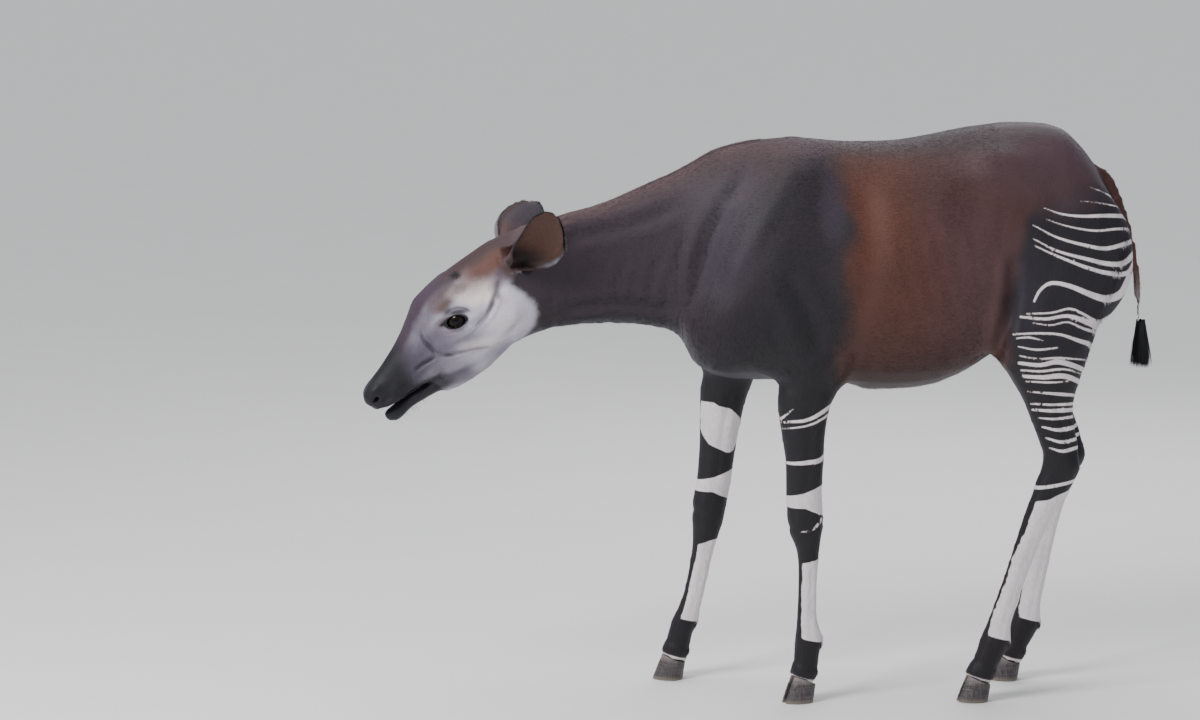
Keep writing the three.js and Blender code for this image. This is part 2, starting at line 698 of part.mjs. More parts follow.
function buildClaw(foot, inner) {
  const across = foot.heading.clone().cross(vec(0, 0, 1)).normalize().multiplyScalar(inner);
  const rings = [];
  for (let i = 0; i < CLAW_LEVELS; i += 1) {
    const share = i / (CLAW_LEVELS - 1);
    const ring = [];
    for (let j = 0; j < CLAW_SIDES; j += 1) {
      const angle = (2 * Math.PI * j) / CLAW_SIDES;
      const front = Math.cos(angle);
      const outer = Math.sin(angle);
      const length = lerp(CLAW.length * 0.5, CLAW.length * 0.37, share);
      const reach = front > 0 ? front ** 0.9 : -((-front) ** 0.75);
      const pointed = front > 0 ? 1 - 0.3 * front : 1;
      const bulge = outer > 0 ? outer : CLAW.flatness * outer;
      const x = reach * length + lerp(14, -4, share);
      const y = CLAW.cleft / 2 + CLAW.width * (0.16 + 0.84 * bulge * pointed * lerp(1, 0.94, share));
      const point = foot.at.clone().addScaledVector(foot.heading, x).addScaledVector(across, y);
      const topZ = coronetZ(foot, point) - GAP;
      point.z = lerp(0, topZ, share);
      ring.push(point);
    }
    rings.push(ring);
  }
  return loftRings(rings);
}

for (const leg of LEGS) {
  const geometry = buildLeg(leg.stations, leg.hand, leg.cut, leg.turn, leg.rings);
  addNode(leg.name, geometry, COAT.legs, 0.66);
  const foot = footFrame(leg.stations, leg.hand, leg.turn);
  addNode(`hoof_${leg.name}_inner`, buildClaw(foot, -leg.hand), 0x4a454a, 0.5);
  addNode(`hoof_${leg.name}_outer`, buildClaw(foot, leg.hand), 0x4a454a, 0.5);
}

// Head
const headGroup = new THREE.Group();
headGroup.name = 'head_frame';
headGroup.position.copy(headFrame.position);
headGroup.quaternion.copy(headFrame.quaternion);
object.add(headGroup);

const HEAD_SIDES = 40;
const HEAD_SPINE = [[16, -62], [60, -52], [110, -44], [170, -40], [259, -34], [341, -38], [420, -42], [487, -30], [545, -16]];

function headLoft() {
  const height = profile(HEAD_SPINE);
  const cutUp = leaning(HEAD_CUT.lean).transformDirection(worldToHead);
  const cutPoint = vec(HEAD_CUT.x, bodyBend(HEAD_CUT.x), HEAD_CUT.z).applyMatrix4(worldToHead);
  const cutSide = SIDE_AXIS.clone().transformDirection(worldToHead);
  const rings = [];
  const fanRings = 11;
  const straightStart = 170;
  for (let i = 0; i < fanRings; i += 1) {
    const share = i / fanRings;
    const goal = vec(-straightStart, 0, height(straightStart));
    const origin = cutPoint.clone().lerp(goal, share);
    const up = cutUp.clone().lerp(vec(0, 0, 1), share).normalize();
    const side = cutSide.clone().lerp(SIDE_AXIS, share);
    side.addScaledVector(up, -side.dot(up)).normalize();
    rings.push(ringAt({ origin, side, up }, HEAD_SIDES, headField, 320));
  }
  const straightEnd = 548;
  const straightRings = 28;
  for (let i = 0; i <= straightRings; i += 1) {
    const along = lerp(straightStart, straightEnd, i / straightRings);
    rings.push(ringAt(
      { origin: vec(-along, 0, height(along)), side: SIDE_AXIS, up: vec(0, 0, 1) },
      HEAD_SIDES, headField, 320,
    ));
  }
  const tipSteps = 5;
  const origin = vec(-straightEnd, 0, height(straightEnd));
  for (let i = 1; i < tipSteps; i += 1) {
    const tilt = radians((90 * i) / tipSteps);
    rings.push(ringAt(
      { origin, side: SIDE_AXIS, up: vec(0, 0, 1), forward: vec(-1, 0, 0), tilt },
      HEAD_SIDES, headField, 320,
    ));
  }
  const tip = march(origin, vec(-1, 0, 0), headField, 320);
  return loftRings(rings, null, tip);
}

function mouthCut() {
  // Everything below the line of the mouth, in front of its corner.
  const outline = [];
  const steps = 10;
  for (let i = 0; i <= steps; i += 1) {
    const along = lerp(MOUTH_CORNER, 640, i / steps);
    outline.push(new THREE.Vector2(-along, lipLine(along)));
  }
  outline.push(new THREE.Vector2(-640, -260), new THREE.Vector2(-MOUTH_CORNER, -260));
  const shape = new THREE.Shape(outline);
  const wedge = new THREE.ExtrudeGeometry(shape, { depth: 200, bevelEnabled: false });
  wedge.rotateX(Math.PI / 2);
  wedge.translate(0, 100, 0);
  return wedge;
}

function eyeCentre(hand) {
  return vec(-EYE.along, hand * EYE.side, EYE.height);
}

function eyeAxis(hand) {
  return vec(-EYE_AXIS.forward, hand * EYE_AXIS.side, EYE_AXIS.up).normalize();
}

function eyeSocket(hand) {
  const socket = new THREE.SphereGeometry(EYE.radius + GAP, 20, 12);
  socket.rotateX(Math.PI / 2);
  socket.translate(...eyeCentre(hand).toArray());
  return socket;
}

function eyeOpening(hand) {
  // Almond shape between the lids, cut outwards along the axis of the eye.
  const points = [];
  const steps = 24;
  for (let i = 0; i < steps; i += 1) {
    const angle = (2 * Math.PI * i) / steps;
    const x = Math.cos(angle) * EYE_OPENING.length * 0.5;
    const y = Math.sin(angle) * Math.abs(Math.sin(angle)) ** 0.35 * EYE_OPENING.height * 0.5;
    points.push(new THREE.Vector2(x, y));
  }
  const almond = new THREE.ExtrudeGeometry(new THREE.Shape(points), { depth: 90, bevelEnabled: false });
  const out = eyeAxis(hand);
  const tilt = radians(EYE_OPENING.tilt);
  const long = vec(-Math.cos(tilt), 0, Math.sin(tilt));
  long.addScaledVector(out, -long.dot(out)).normalize();
  const high = out.clone().cross(long);
  almond.applyMatrix4(new THREE.Matrix4().makeBasis(long, high, out));
  almond.translate(...eyeCentre(hand).toArray());
  return almond;
}

function nostril(hand) {
  const slit = new THREE.SphereGeometry(1, 16, 10);
  slit.scale(...NOSTRIL.radii);
  slit.rotateY(radians(NOSTRIL.slant));
  slit.rotateZ(hand * radians(NOSTRIL.splay));
  slit.translate(-NOSTRIL.along, hand * NOSTRIL.side, NOSTRIL.height);
  return slit;
}

// Ears
function earSeat(hand) {
  const { axis, open, across, base } = earFrame(hand);
  const seat = new THREE.BoxGeometry(EAR_SEAT_BOX.across, EAR_SEAT_BOX.through, EAR_SEAT_BOX.high);
  seat.translate(EAR_SEAT_BOX.shift, 2, EAR_SEAT_BOX.high / 2);
  seat.applyMatrix4(new THREE.Matrix4().makeBasis(across, open, axis));
  seat.translate(...base.clone().addScaledVector(axis, EAR_SEAT).toArray());
  return seat;
}

function buildEar(hand) {
  const { axis, open, across, base } = earFrame(hand);
  const halfWidth = profile(EAR_LINES.halfWidth);
  const depth = profile(EAR_LINES.depth);
  const wrap = profile(EAR_LINES.wrap);
  const bow = profile(EAR_LINES.bow);
  const bowShare = hand === LEFT ? EAR_BOW.left : EAR_BOW.right;
  const rows = 12;
  const columns = 12;
  const origin = base.clone().addScaledVector(axis, EAR_SEAT + GAP);
  const surface = (s, t, inset) => {
    const turn = radians(wrap(s)) * t;
    const widest = Math.sin(Math.min(radians(wrap(s)), Math.PI / 2));
    const radiusAcross = Math.max(halfWidth(s) - inset, 1.5) / widest;
    const half = depth(s) / 2;
    const rise = -Math.cos(turn) * Math.max(half - inset, 1);
    return origin.clone()
      .addScaledVector(axis, s * EAR_LENGTH)
      .addScaledVector(across, radiusAcross * Math.sin(turn) + bowShare * bow(s))
      .addScaledVector(open, rise + half * 0.2 + EAR_FLARE * Math.sin(Math.PI * Math.min(s * 2.2, 1) * 0.5));
  };
  const rings = [];
  for (let i = 0; i <= rows; i += 1) {
    const s = (i / rows) ** 0.9;
    const ring = [];
    const floorShare = clamp(s / 0.1, 0, 1);
    for (let j = 0; j <= columns; j += 1) ring.push(surface(s, lerp(-1, 1, j / columns), 0));
    for (let j = columns; j >= 0; j -= 1) {
      const inset = lerp(16, EAR_THICKNESS, floorShare);
      ring.push(surface(s, lerp(-0.96, 0.96, j / columns), inset));
    }
    rings.push(ring);
  }
  return loftRings(rings);
}

function buildHead() {
  const head = headLoft();
  return minus(
    head, mouthCut(), eyeSocket(LEFT), eyeSocket(RIGHT), eyeOpening(LEFT), eyeOpening(RIGHT),
    nostril(LEFT), nostril(RIGHT), earSeat(LEFT), earSeat(RIGHT),
  );
}

addNode('head', buildHead(), COAT.face, 0.6, headGroup);
for (const [name, hand] of [['left', LEFT], ['right', RIGHT]]) {
  const ball = new THREE.SphereGeometry(EYE.radius, 20, 12);
  ball.rotateX(Math.PI / 2);
  const eye = addNode(`eye_${name}`, ball, 0x0d0a0c, 0.08, headGroup);
  eye.position.copy(eyeCentre(hand));
  addNode(`ear_${name}`, buildEar(hand), 0x38282c, 0.7, headGroup);
}

// Lower jaw
function buildJaw() {
  const top = profile(JAW_TOP);
  const under = profile(JAW_UNDER);
  const width = profile(JAW_WIDTH);
  const sides = 16;
  const count = 11;
  const rings = [];
  for (let i = 0; i <= count; i += 1) {
    const share = i / count;
    const along = lerp(MOUTH_CORNER + GAP, 580, 1 - (1 - share) ** 1.4);
    const ring = [];
    for (let j = 0; j < sides; j += 1) {
      const angle = (2 * Math.PI * j) / sides;
      const y = Math.sin(angle) * width(along);
      const level = Math.cos(angle);
      const middle = (top(along) + under(along)) / 2;
      const half = (top(along) - under(along)) / 2;
      const z = middle + half * Math.sign(level) * Math.abs(level) ** (level > 0 ? 0.7 : 0.95);
      ring.push(vec(-along, y, z));
    }
    rings.push(ring);
  }
  return loftRings(rings);
}

addNode('lower_jaw', buildJaw(), COAT.muzzle, 0.55, headGroup);

// Tail
function buildTail() {
  const rings = [];
  const count = 18;
  const sides = 10;
  for (let i = 0; i <= count; i += 1) {
    const share = i / count;
    const origin = TAIL_CURVE.getPointAt(share);
    const along = TAIL_CURVE.getTangentAt(share);
    if (i === 0) origin.addScaledVector(TAIL_AXIS, GAP);
    const side = SIDE_AXIS.clone();
    const up = along.clone().cross(side).normalize();
    const radius = lerp(TAIL_RADIUS.root, TAIL_RADIUS.end, share ** 0.6);
    const ring = [];
    for (let j = 0; j < sides; j += 1) {
      const angle = (2 * Math.PI * j) / sides;
      ring.push(origin.clone()
        .addScaledVector(side, Math.sin(angle) * radius)
        .addScaledVector(up, Math.cos(angle) * radius));
    }
    rings.push(ring);
  }
  return loftRings(rings);
}

addNode('tail', buildTail(), 0x4a2a20, 0.7);

// Tuft of the tail: a core with flat tapered locks sunk into it
function taperedLock(root, direction, flat, length, width, thickness) {
  const rings = [];
  const levels = 5;
  const sides = 4;
  const across = direction.clone().cross(flat).normalize();
  for (let i = 0; i < levels; i += 1) {
    const share = i / (levels - 1);
    const swell = Math.sin(Math.PI * (0.18 + 0.8 * share)) * 0.9 + 0.1;
    const origin = root.clone().addScaledVector(direction, length * share)
      .addScaledVector(flat, length * 0.06 * share * share);
    const ring = [];
    for (let j = 0; j < sides; j += 1) {
      const angle = (2 * Math.PI * j) / sides;
      ring.push(origin.clone()
        .addScaledVector(across, Math.cos(angle) * width * 0.5 * swell)
        .addScaledVector(flat, Math.sin(angle) * thickness * 0.5 * swell));
    }
    rings.push(ring);
  }
  return loftRings(rings);
}

function buildTuft() {
  const end = TAIL_PATH[TAIL_PATH.length - 1];
  const top = vec(end[0], 0, end[1]).addScaledVector(TAIL_END, GAP);
  const down = TAIL_END;
  const aft = SIDE_AXIS.clone().cross(down).normalize();
  const core = [];
  const levels = 7;
  const sides = 10;
  for (let i = 0; i < levels; i += 1) {
    const share = i / (levels - 1);
    const radius = TAIL_RADIUS.end * (1 + 0.25 * Math.sin(Math.PI * share)) * (1 - 0.72 * share * share);
    const origin = top.clone().addScaledVector(down, TUFT.length * 0.72 * share);
    const ring = [];
    for (let j = 0; j < sides; j += 1) {
      const angle = (2 * Math.PI * j) / sides;
      ring.push(origin.clone()
        .addScaledVector(SIDE_AXIS, Math.cos(angle) * radius)
        .addScaledVector(aft, Math.sin(angle) * radius));
    }
    core.push(ring);
  }
  let solid = loftRings(core);
  for (let i = 0; i < TUFT.locks; i += 1) {
    const angle = 2.4 * i;
    const drop = TUFT.length * 0.5 * (i / TUFT.locks);
    const outward = SIDE_AXIS.clone().multiplyScalar(Math.cos(angle)).addScaledVector(aft, Math.sin(angle));
    const lean = down.clone().addScaledVector(outward, 0.09);
    const root = top.clone().addScaledVector(down, 12 + drop)
      .addScaledVector(outward, TAIL_RADIUS.end * 0.72 * (1 - drop / TUFT.length));
    const length = TUFT.length - 14 - drop - 9 * Math.abs(Math.sin(5 * i));
    solid = plus(solid, taperedLock(root, lean.normalize(), outward, length, TUFT.width, TUFT.thickness));
  }
  return solid;
}

addNode('tail_tuft', buildTuft(), 0x14100f, 0.8);

object.position.set(-BOX_CENTRE.x, -BOX_CENTRE.y, 0);

export default object;
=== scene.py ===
"""Dresses the life-size standing okapi: one skin over the flesh, short coat, tufts, eyes and hooves.

The animal faces -X, its left side is at -Y, +Z is up and all sizes are in metres.
"""

import json
import logging
import math
from contextlib import contextmanager
from dataclasses import dataclass, field
from enum import Enum
from typing import Callable, Iterator, Sequence

import bpy
import numpy as np
from mathutils import Matrix, Vector
from mathutils.bvhtree import BVHTree

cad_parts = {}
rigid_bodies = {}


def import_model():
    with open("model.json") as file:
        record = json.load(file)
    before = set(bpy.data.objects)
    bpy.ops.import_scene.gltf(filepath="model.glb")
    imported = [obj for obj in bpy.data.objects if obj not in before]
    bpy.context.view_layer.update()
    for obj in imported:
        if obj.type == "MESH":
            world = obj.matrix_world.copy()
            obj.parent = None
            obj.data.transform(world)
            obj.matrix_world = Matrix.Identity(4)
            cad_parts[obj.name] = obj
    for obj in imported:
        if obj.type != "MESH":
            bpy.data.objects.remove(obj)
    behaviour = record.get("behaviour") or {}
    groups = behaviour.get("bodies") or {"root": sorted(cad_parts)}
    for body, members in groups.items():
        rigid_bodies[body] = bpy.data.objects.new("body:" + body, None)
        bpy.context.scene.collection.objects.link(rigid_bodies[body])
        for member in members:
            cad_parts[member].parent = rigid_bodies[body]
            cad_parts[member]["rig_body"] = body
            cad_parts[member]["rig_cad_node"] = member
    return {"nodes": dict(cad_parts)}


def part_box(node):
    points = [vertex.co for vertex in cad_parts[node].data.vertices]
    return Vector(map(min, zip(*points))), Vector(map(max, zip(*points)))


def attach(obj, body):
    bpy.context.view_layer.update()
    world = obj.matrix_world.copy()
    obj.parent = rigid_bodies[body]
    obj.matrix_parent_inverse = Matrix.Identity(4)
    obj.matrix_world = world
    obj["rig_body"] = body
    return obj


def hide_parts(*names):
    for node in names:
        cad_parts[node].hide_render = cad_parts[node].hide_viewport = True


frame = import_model()
LOG = logging.getLogger("okapi")
MM = 0.001
BODY = "root"
PHOTO_WIDTH = 1200

Array = np.ndarray
Piece = bpy.types.Object
Material = bpy.types.Material
Socket = bpy.types.NodeSocket
Point2 = tuple[float, float]
Point3 = tuple[float, float, float]


class Side(Enum):
    """The two sides of the animal, with the sign of Y on each."""

    LEFT = -1
    RIGHT = 1


# The body's middle plane, and the frame of the head as the solids have it
MIDDLE_Y = 12 * MM
HEAD_ORIGIN = np.array(Vector((-639 * MM, -66 * MM, 1233 * MM)))
HEAD_TURN = np.array(
    Matrix.Rotation(math.radians(-45), 3, "Y")
    @ Matrix.Rotation(math.radians(6), 3, "X")
    @ Matrix.Rotation(math.radians(3), 3, "Z")
)

# The head's upper outline in its own frame: distances from the poll and heights, in millimetres
HEAD_TOP_LINE = (
    (-60, 0, 54, 109, 178, 259, 296, 341, 386, 438, 487, 541, 581),
    (-6, 38, 64, 75, 87, 97, 96, 79, 60, 43, 34, 25, 8),
)


# Plain mathematics on arrays of points


def ramp(low: float, high: float, value: Array) -> Array:
    """Rises smoothly from 0 at low to 1 at high."""
    t = np.clip((value - low) / (high - low), 0.0, 1.0)
    return t * t * (3 - 2 * t)


def mix(a: Array, b: Array, share: Array) -> Array:
    """Blends a, one row or many, towards b by a share for each point."""
    return a + (np.asarray(b) - a) * share[:, None]


def bell(value: Array, width: float) -> Array:
    """1 where the value is zero, falling off softly on both sides."""
    return np.exp(-((value / width) ** 2))


def unit(rows: Array) -> Array:
    """Scales each row to length one."""
    return rows / np.maximum(np.linalg.norm(rows, axis=-1, keepdims=True), 1e-9)


def dots(a: Array, b: Array) -> Array:
    """Scalar product of each pair of rows."""
    return np.einsum("ij,ij->i", a, np.broadcast_to(b, a.shape))


def to_head(points: Array) -> Array:
    """Turns points of the frame into the head's own frame, in millimetres."""
    return (points - HEAD_ORIGIN) @ HEAD_TURN / MM


def from_head(points: Array) -> Array:
    """Turns points of the head's own frame, in millimetres, into the frame."""
    return (np.atleast_2d(points) * MM) @ HEAD_TURN.T + HEAD_ORIGIN


def fold(points: Array) -> Array:
    """Copies of places, all laid on the side where Y is positive."""
    result = points.copy()
    result[:, 1] = np.abs(result[:, 1])
    return result


def waves(points: Array, scale: float, seed: int) -> Array:
    """Soft irregular waves between about -1 and 1, the same at each run.

    Args:
        points: places, one row each.
        scale: waves in a metre.
        seed: number that picks the pattern.

    Returns:
        One value for each point.
    """
    draw = np.random.default_rng(seed)
    total = np.zeros(len(points))
    for octave in range(3):
        for _ in range(4):
            direction = unit(draw.normal(size=(1, 3)))[0] * scale * 2**octave
            phase = draw.uniform(0, 2 * math.pi)
            total += np.sin(points @ direction * 2 * math.pi + phase) / 2**octave
    return total / 3.6


def distance_to_path(points: Array, path: Array) -> tuple[Array, Array]:
    """Distance of points to a chain of straight lengths.

    Args:
        points: places, one row each, in two or three dimensions.
        path: the chain's corners, one row each.

    Returns:
        The distance, and how far along the chain the nearest place is, from 0 to 1.
    """
    best = np.full(len(points), 1e9)
    along = np.zeros(len(points))
    lengths = np.linalg.norm(np.diff(path, axis=0), axis=1)
    total = lengths.sum()
    walked = 0.0
    for start, end, length in zip(path[:-1], path[1:], lengths):
        step = end - start
        t = np.clip((points - start) @ step / (length * length), 0, 1)
        gap = np.linalg.norm(points - start - t[:, None] * step, axis=1)
        nearer = gap < best
        best = np.where(nearer, gap, best)
        along = np.where(nearer, (walked + t * length) / total, along)
        walked += length
    return best, along


def smooth_path(corners: Sequence[Sequence[float]], steps: int = 4) -> Array:
    """A rounded chain through given corners.

    Args:
        corners: the corners, in order.
        steps: lengths between two corners.

    Returns:
        The points of the rounded chain, one row each.
    """
    p = np.array(corners, float)
    if len(p) < 3:
        return p
    padded = np.vstack([2 * p[0] - p[1], p, 2 * p[-1] - p[-2]])
    rows = []
    for i in range(1, len(padded) - 2):
        a, b, c, d = padded[i - 1 : i + 3]
        for t in np.arange(steps) / steps:
            linear = (c - a) * t
            square = (2 * a - 5 * b + 4 * c - d) * t**2
            cube = (3 * b - a - 3 * c + d) * t**3
            rows.append(0.5 * (2 * b + linear + square + cube))
    rows.append(p[-1])
    return np.array(rows)


def paint(red: int, green: int, blue: int) -> Array:
    """A linear colour from three sRGB bytes."""
    s = np.array([red, green, blue]) / 255
    return np.where(s <= 0.04045, s / 12.92, ((s + 0.055) / 1.055) ** 2.4)


def tint(red: int, green: int, blue: int) -> Array:
    """A dataclass field that holds the linear colour of three sRGB bytes."""
    return field(default_factory=lambda: paint(red, green, blue))


# Mesh handling


def select_only(*objects: Piece) -> None:
    """Selects these objects alone and makes the first one active."""
    if bpy.context.mode != "OBJECT":
        bpy.ops.object.mode_set(mode="OBJECT")
    bpy.ops.object.select_all(action="DESELECT")
    for item in objects:
        item.select_set(True)
    bpy.context.view_layer.objects.active = objects[0]


@contextmanager
def editing(piece: Piece, faces: Array | None = None) -> Iterator[None]:
    """Edit mode for the lines under it, and object mode again after them.

    Args:
        piece: the object to edit.
        faces: which faces are selected, or none for the whole mesh.
    """
    select_only(piece)
    bpy.ops.object.mode_set(mode="EDIT")
    if faces is None:
        bpy.ops.mesh.select_all(action="SELECT")
    else:
        bpy.ops.mesh.select_mode(type="FACE")
        bpy.ops.mesh.select_all(action="DESELECT")
        bpy.ops.object.mode_set(mode="OBJECT")
        piece.data.polygons.foreach_set("select", faces)
        bpy.ops.object.mode_set(mode="EDIT")
    yield
    bpy.ops.object.mode_set(mode="OBJECT")


def apply_modifier(piece: Piece, kind: str, **settings: object) -> None:
    """Adds a modifier with these settings and applies it.

    Args:
        piece: the object to change.
        kind: the modifier's type.
        settings: the modifier's values by name.
    """
    select_only(piece)
    modifier = piece.modifiers.new(kind.lower(), kind)
    for name, value in settings.items():
        setattr(modifier, name, value)
    bpy.ops.object.modifier_apply(modifier=modifier.name)


def copy_of(node: str) -> Piece:
    """A free copy of a solid, with its loose triangles merged.

    Args:
        node: the solid's name.

    Returns:
        The copy, which rides on nothing yet.
    """
    source = frame["nodes"][node]
    piece = source.copy()
    piece.data = source.data.copy()
    piece.name = f"{node}_copy"
    piece.parent = None
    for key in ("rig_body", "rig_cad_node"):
        del piece[key]
    piece.data.materials.clear()
    bpy.context.collection.objects.link(piece)
    with editing(piece):
        bpy.ops.mesh.remove_doubles(threshold=0.02 * MM)
        bpy.ops.mesh.normals_make_consistent(inside=False)
    return piece


def join(pieces: Sequence[Piece], name: str) -> Piece:
    """Joins objects into the first one and names it."""
    select_only(*pieces)
    bpy.ops.object.join()
    pieces[0].name = name
    pieces[0].data.name = name
    return pieces[0]


def keep_half(piece: Piece, place: Point3, normal: Point3) -> None:
    """Cuts a mesh at a plane and keeps the half that the normal points away from."""
    with editing(piece):
        bpy.ops.mesh.bisect(plane_co=place, plane_no=normal, clear_outer=True)


def read(items: bpy.types.bpy_prop_collection, name: str, width: int, kind: type = np.float32) -> Array:
    """Reads a property of every item of a mesh.

    Args:
        items: the vertices, faces, corners or triangles.
        name: the property's name.
        width: how many numbers each item has.
        kind: the numbers' type in the mesh.

    Returns:
        One row for each item, as floats unless the kind is a whole number.
    """
    rows = np.empty(len(items) * width, kind)
    items.foreach_get(name, rows)
    return rows.reshape(-1, width).astype(float if kind is np.float32 else kind)


def points_of(mesh: bpy.types.Mesh) -> Array:
    """The vertices of a mesh, one row each."""
    return read(mesh.vertices, "co", 3)


def normals_of(mesh: bpy.types.Mesh) -> Array:
    """The smooth normal of each vertex."""
    return read(mesh.vertex_normals, "vector", 3)


def set_points(mesh: bpy.types.Mesh, points: Array) -> None:
    """Moves the vertices of a mesh to these places."""
    mesh.vertices.foreach_set("co", points.astype(np.float32).ravel())
    mesh.update()


def set_value(mesh: bpy.types.Mesh, name: str, values: Array) -> None:
    """Stores one number for each vertex under a name."""
    layer = mesh.attributes.get(name) or mesh.attributes.new(name, "FLOAT", "POINT")
    layer.data.foreach_set("value", values.astype(np.float32))


def set_colour(mesh: bpy.types.Mesh, name: str, colours: Array) -> None:
    """Stores a linear colour for each vertex under a name."""
    layer = mesh.attributes.get(name) or mesh.attributes.new(name, "FLOAT_COLOR", "POINT")
    full = np.ones((len(colours), 4), np.float32)
    full[:, :3] = colours
    layer.data.foreach_set("color", full.ravel())


def new_map(mesh: bpy.types.Mesh, name: str) -> bpy.types.MeshUVLoopLayer:
    """Replaces the maps of a mesh by an empty one and returns that."""
    for layer in list(mesh.uv_layers):
        mesh.uv_layers.remove(layer)
    return mesh.uv_layers.new(name=name)


def finish_piece(piece: Piece, replaced: Sequence[str] = ()) -> None:
    """Lets a piece ride with the body and hides the solids that it stands for."""
    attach(piece, BODY)
    if replaced:
        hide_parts(*replaced)
    LOG.info("%s: %d faces", piece.name, len(piece.data.polygons))


# Finishes


class Nodes:
    """A small helper that builds a material from its nodes."""

    def __init__(self, name: str) -> None:
        """Starts an empty material with a surface shader."""
        self.material = bpy.data.materials.new(name)
        self.material.use_nodes = True
        self.tree = self.material.node_tree
        self.tree.nodes.clear()
        self.output = self.tree.nodes.new("ShaderNodeOutputMaterial")
        self.shader = self.tree.nodes.new("ShaderNodeBsdfPrincipled")
        self.link(self.shader.outputs[0], self.output.inputs["Surface"])

    def link(self, source: Socket, target: Socket) -> None:
        """Joins two sockets."""
        self.tree.links.new(source, target)

    def set(self, **values: object) -> None:
        """Sets the shader's own sockets, named with _ for a space."""
        for name, value in values.items():
            self.shader.inputs[name.replace("_", " ")].default_value = value

    def attribute(self, name: str) -> bpy.types.Node:
        """Reads a value that the mesh carries."""
        node = self.tree.nodes.new("ShaderNodeAttribute")
        node.attribute_name = name
        return node

    def math(self, kind: str, a: object, b: object = 0.0) -> Socket:
        """Works out a sum of this kind from one or two sockets or numbers."""
        node = self.tree.nodes.new("ShaderNodeMath")
        node.operation = kind
        for slot, value in enumerate((a, b)):
            if isinstance(value, (int, float)):
                node.inputs[slot].default_value = value
            else:
                self.link(value, node.inputs[slot])
        return node.outputs[0]

    def plus(self, a: object, b: object) -> Socket:
        """The sum of two sockets or numbers."""
        return self.math("ADD", a, b)

    def times(self, a: object, b: object) -> Socket:
        """The product of two sockets or numbers."""
        return self.math("MULTIPLY", a, b)

    def step(self, low: float, high: float, value: Socket) -> Socket:
        """Rises smoothly from 0 at low to 1 at high."""
        node = self.tree.nodes.new("ShaderNodeMapRange")
        node.interpolation_type = "SMOOTHSTEP"
        node.inputs["From Min"].default_value = low
        node.inputs["From Max"].default_value = high
        self.link(value, node.inputs["Value"])
        return node.outputs["Result"]

    def noise(self, scale: Point3, detail: float = 3.0, rough: float = 0.55) -> Socket:
        """Noise on object coordinates, stretched by a scale for each axis."""
        place = self.tree.nodes.new("ShaderNodeTexCoord")
        mapping = self.tree.nodes.new("ShaderNodeMapping")
        mapping.inputs["Scale"].default_value = scale
        node = self.tree.nodes.new("ShaderNodeTexNoise")
        node.inputs["Scale"].default_value = 1.0
        node.inputs["Detail"].default_value = detail
        node.inputs["Roughness"].default_value = rough
        self.link(place.outputs["Object"], mapping.inputs["Vector"])
        self.link(mapping.outputs["Vector"], node.inputs["Vector"])
        return node.outputs["Fac"]

    def blend(self, share: object, a: object, b: object, kind: str = "MIX") -> Socket:
        """Mixes two colours by a share."""
        node = self.tree.nodes.new("ShaderNodeMix")
        node.data_type = "RGBA"
        node.blend_type = kind
        node.clamp_factor = True
        for value, slot in ((share, 0), (a, 6), (b, 7)):
            if isinstance(value, Socket):
                self.link(value, node.inputs[slot])
            elif slot == 0:
                node.inputs[slot].default_value = float(value)
            else:
                node.inputs[slot].default_value = (*[float(v) for v in value], 1.0)
        return node.outputs[2]

    def bump(self, height: Socket, strength: float, depth: float) -> None:
        """Raises fine relief on the surface."""
        node = self.tree.nodes.new("ShaderNodeBump")
        node.inputs["Strength"].default_value = strength
        node.inputs["Distance"].default_value = depth
        self.link(height, node.inputs["Height"])
        self.link(node.outputs["Normal"], self.shader.inputs["Normal"])


@dataclass(frozen=True)
class CoatColours:
    """The colours of the coat, named for where they lie; a few of them are painted sheen, highlight or
    shade.
    """

    flank: Array = tint(62, 35, 30)
    chestnut: Array = tint(80, 42, 30)
    # Purple-brown of the rear flank: partly the coat's own colour, partly painted sheen
    plum_and_sheen: Array = tint(78, 52, 55)
    back: Array = tint(56, 40, 43)
    belly: Array = tint(40, 24, 22)
    shoulder: Array = tint(33, 26, 33)
    upper_arm: Array = tint(21, 17, 23)
    neck: Array = tint(49, 38, 46)
    # Painted shade under the neck and chest
    nape_highlight: Array = tint(82, 60, 61)
    # Painted highlight on the top of the neck
    throat_shade: Array = tint(29, 25, 31)
    rump: Array = tint(74, 53, 59)
    thigh: Array = tint(25, 22, 29)
    # Painted sheen, laid in spots on the shoulder and on the front of the thigh
    sheen: Array = tint(66, 57, 72)
    leg: Array = tint(20, 18, 23)
    elbow: Array = tint(84, 54, 46)
    white: Array = tint(222, 216, 218)
    stripe_edge: Array = tint(96, 74, 66)
    cannon: Array = tint(196, 191, 197)
    cream: Array = tint(222, 209, 206)
    cheek: Array = tint(186, 181, 195)
    face: Array = tint(92, 84, 100)
    brow: Array = tint(84, 62, 58)
    forehead: Array = tint(64, 50, 62)
    crown: Array = tint(86, 50, 41)
    crown_dark: Array = tint(62, 42, 42)
    nose_side: Array = tint(66, 59, 74)
    muzzle: Array = tint(20, 19, 26)
    # Painted shade laid along the folds and creases of the face
    groove: Array = tint(74, 66, 80)
    # Near-black of the lids, lashes and whiskers, also used as painted shade over the eye and deep in the
    # ears
    lid_and_shade: Array = tint(22, 19, 22)
    ear_back: Array = tint(58, 49, 60)
    ear_brown: Array = tint(84, 56, 50)
    ear_inside: Array = tint(74, 46, 36)
    ear_rim: Array = tint(24, 20, 24)
    tail: Array = tint(92, 60, 54)
    tuft: Array = tint(24, 21, 25)
    tongue: Array = tint(52, 44, 54)


COLOURS = CoatColours()
STRIPE_EDGE_SPREAD = 0.9 * MM


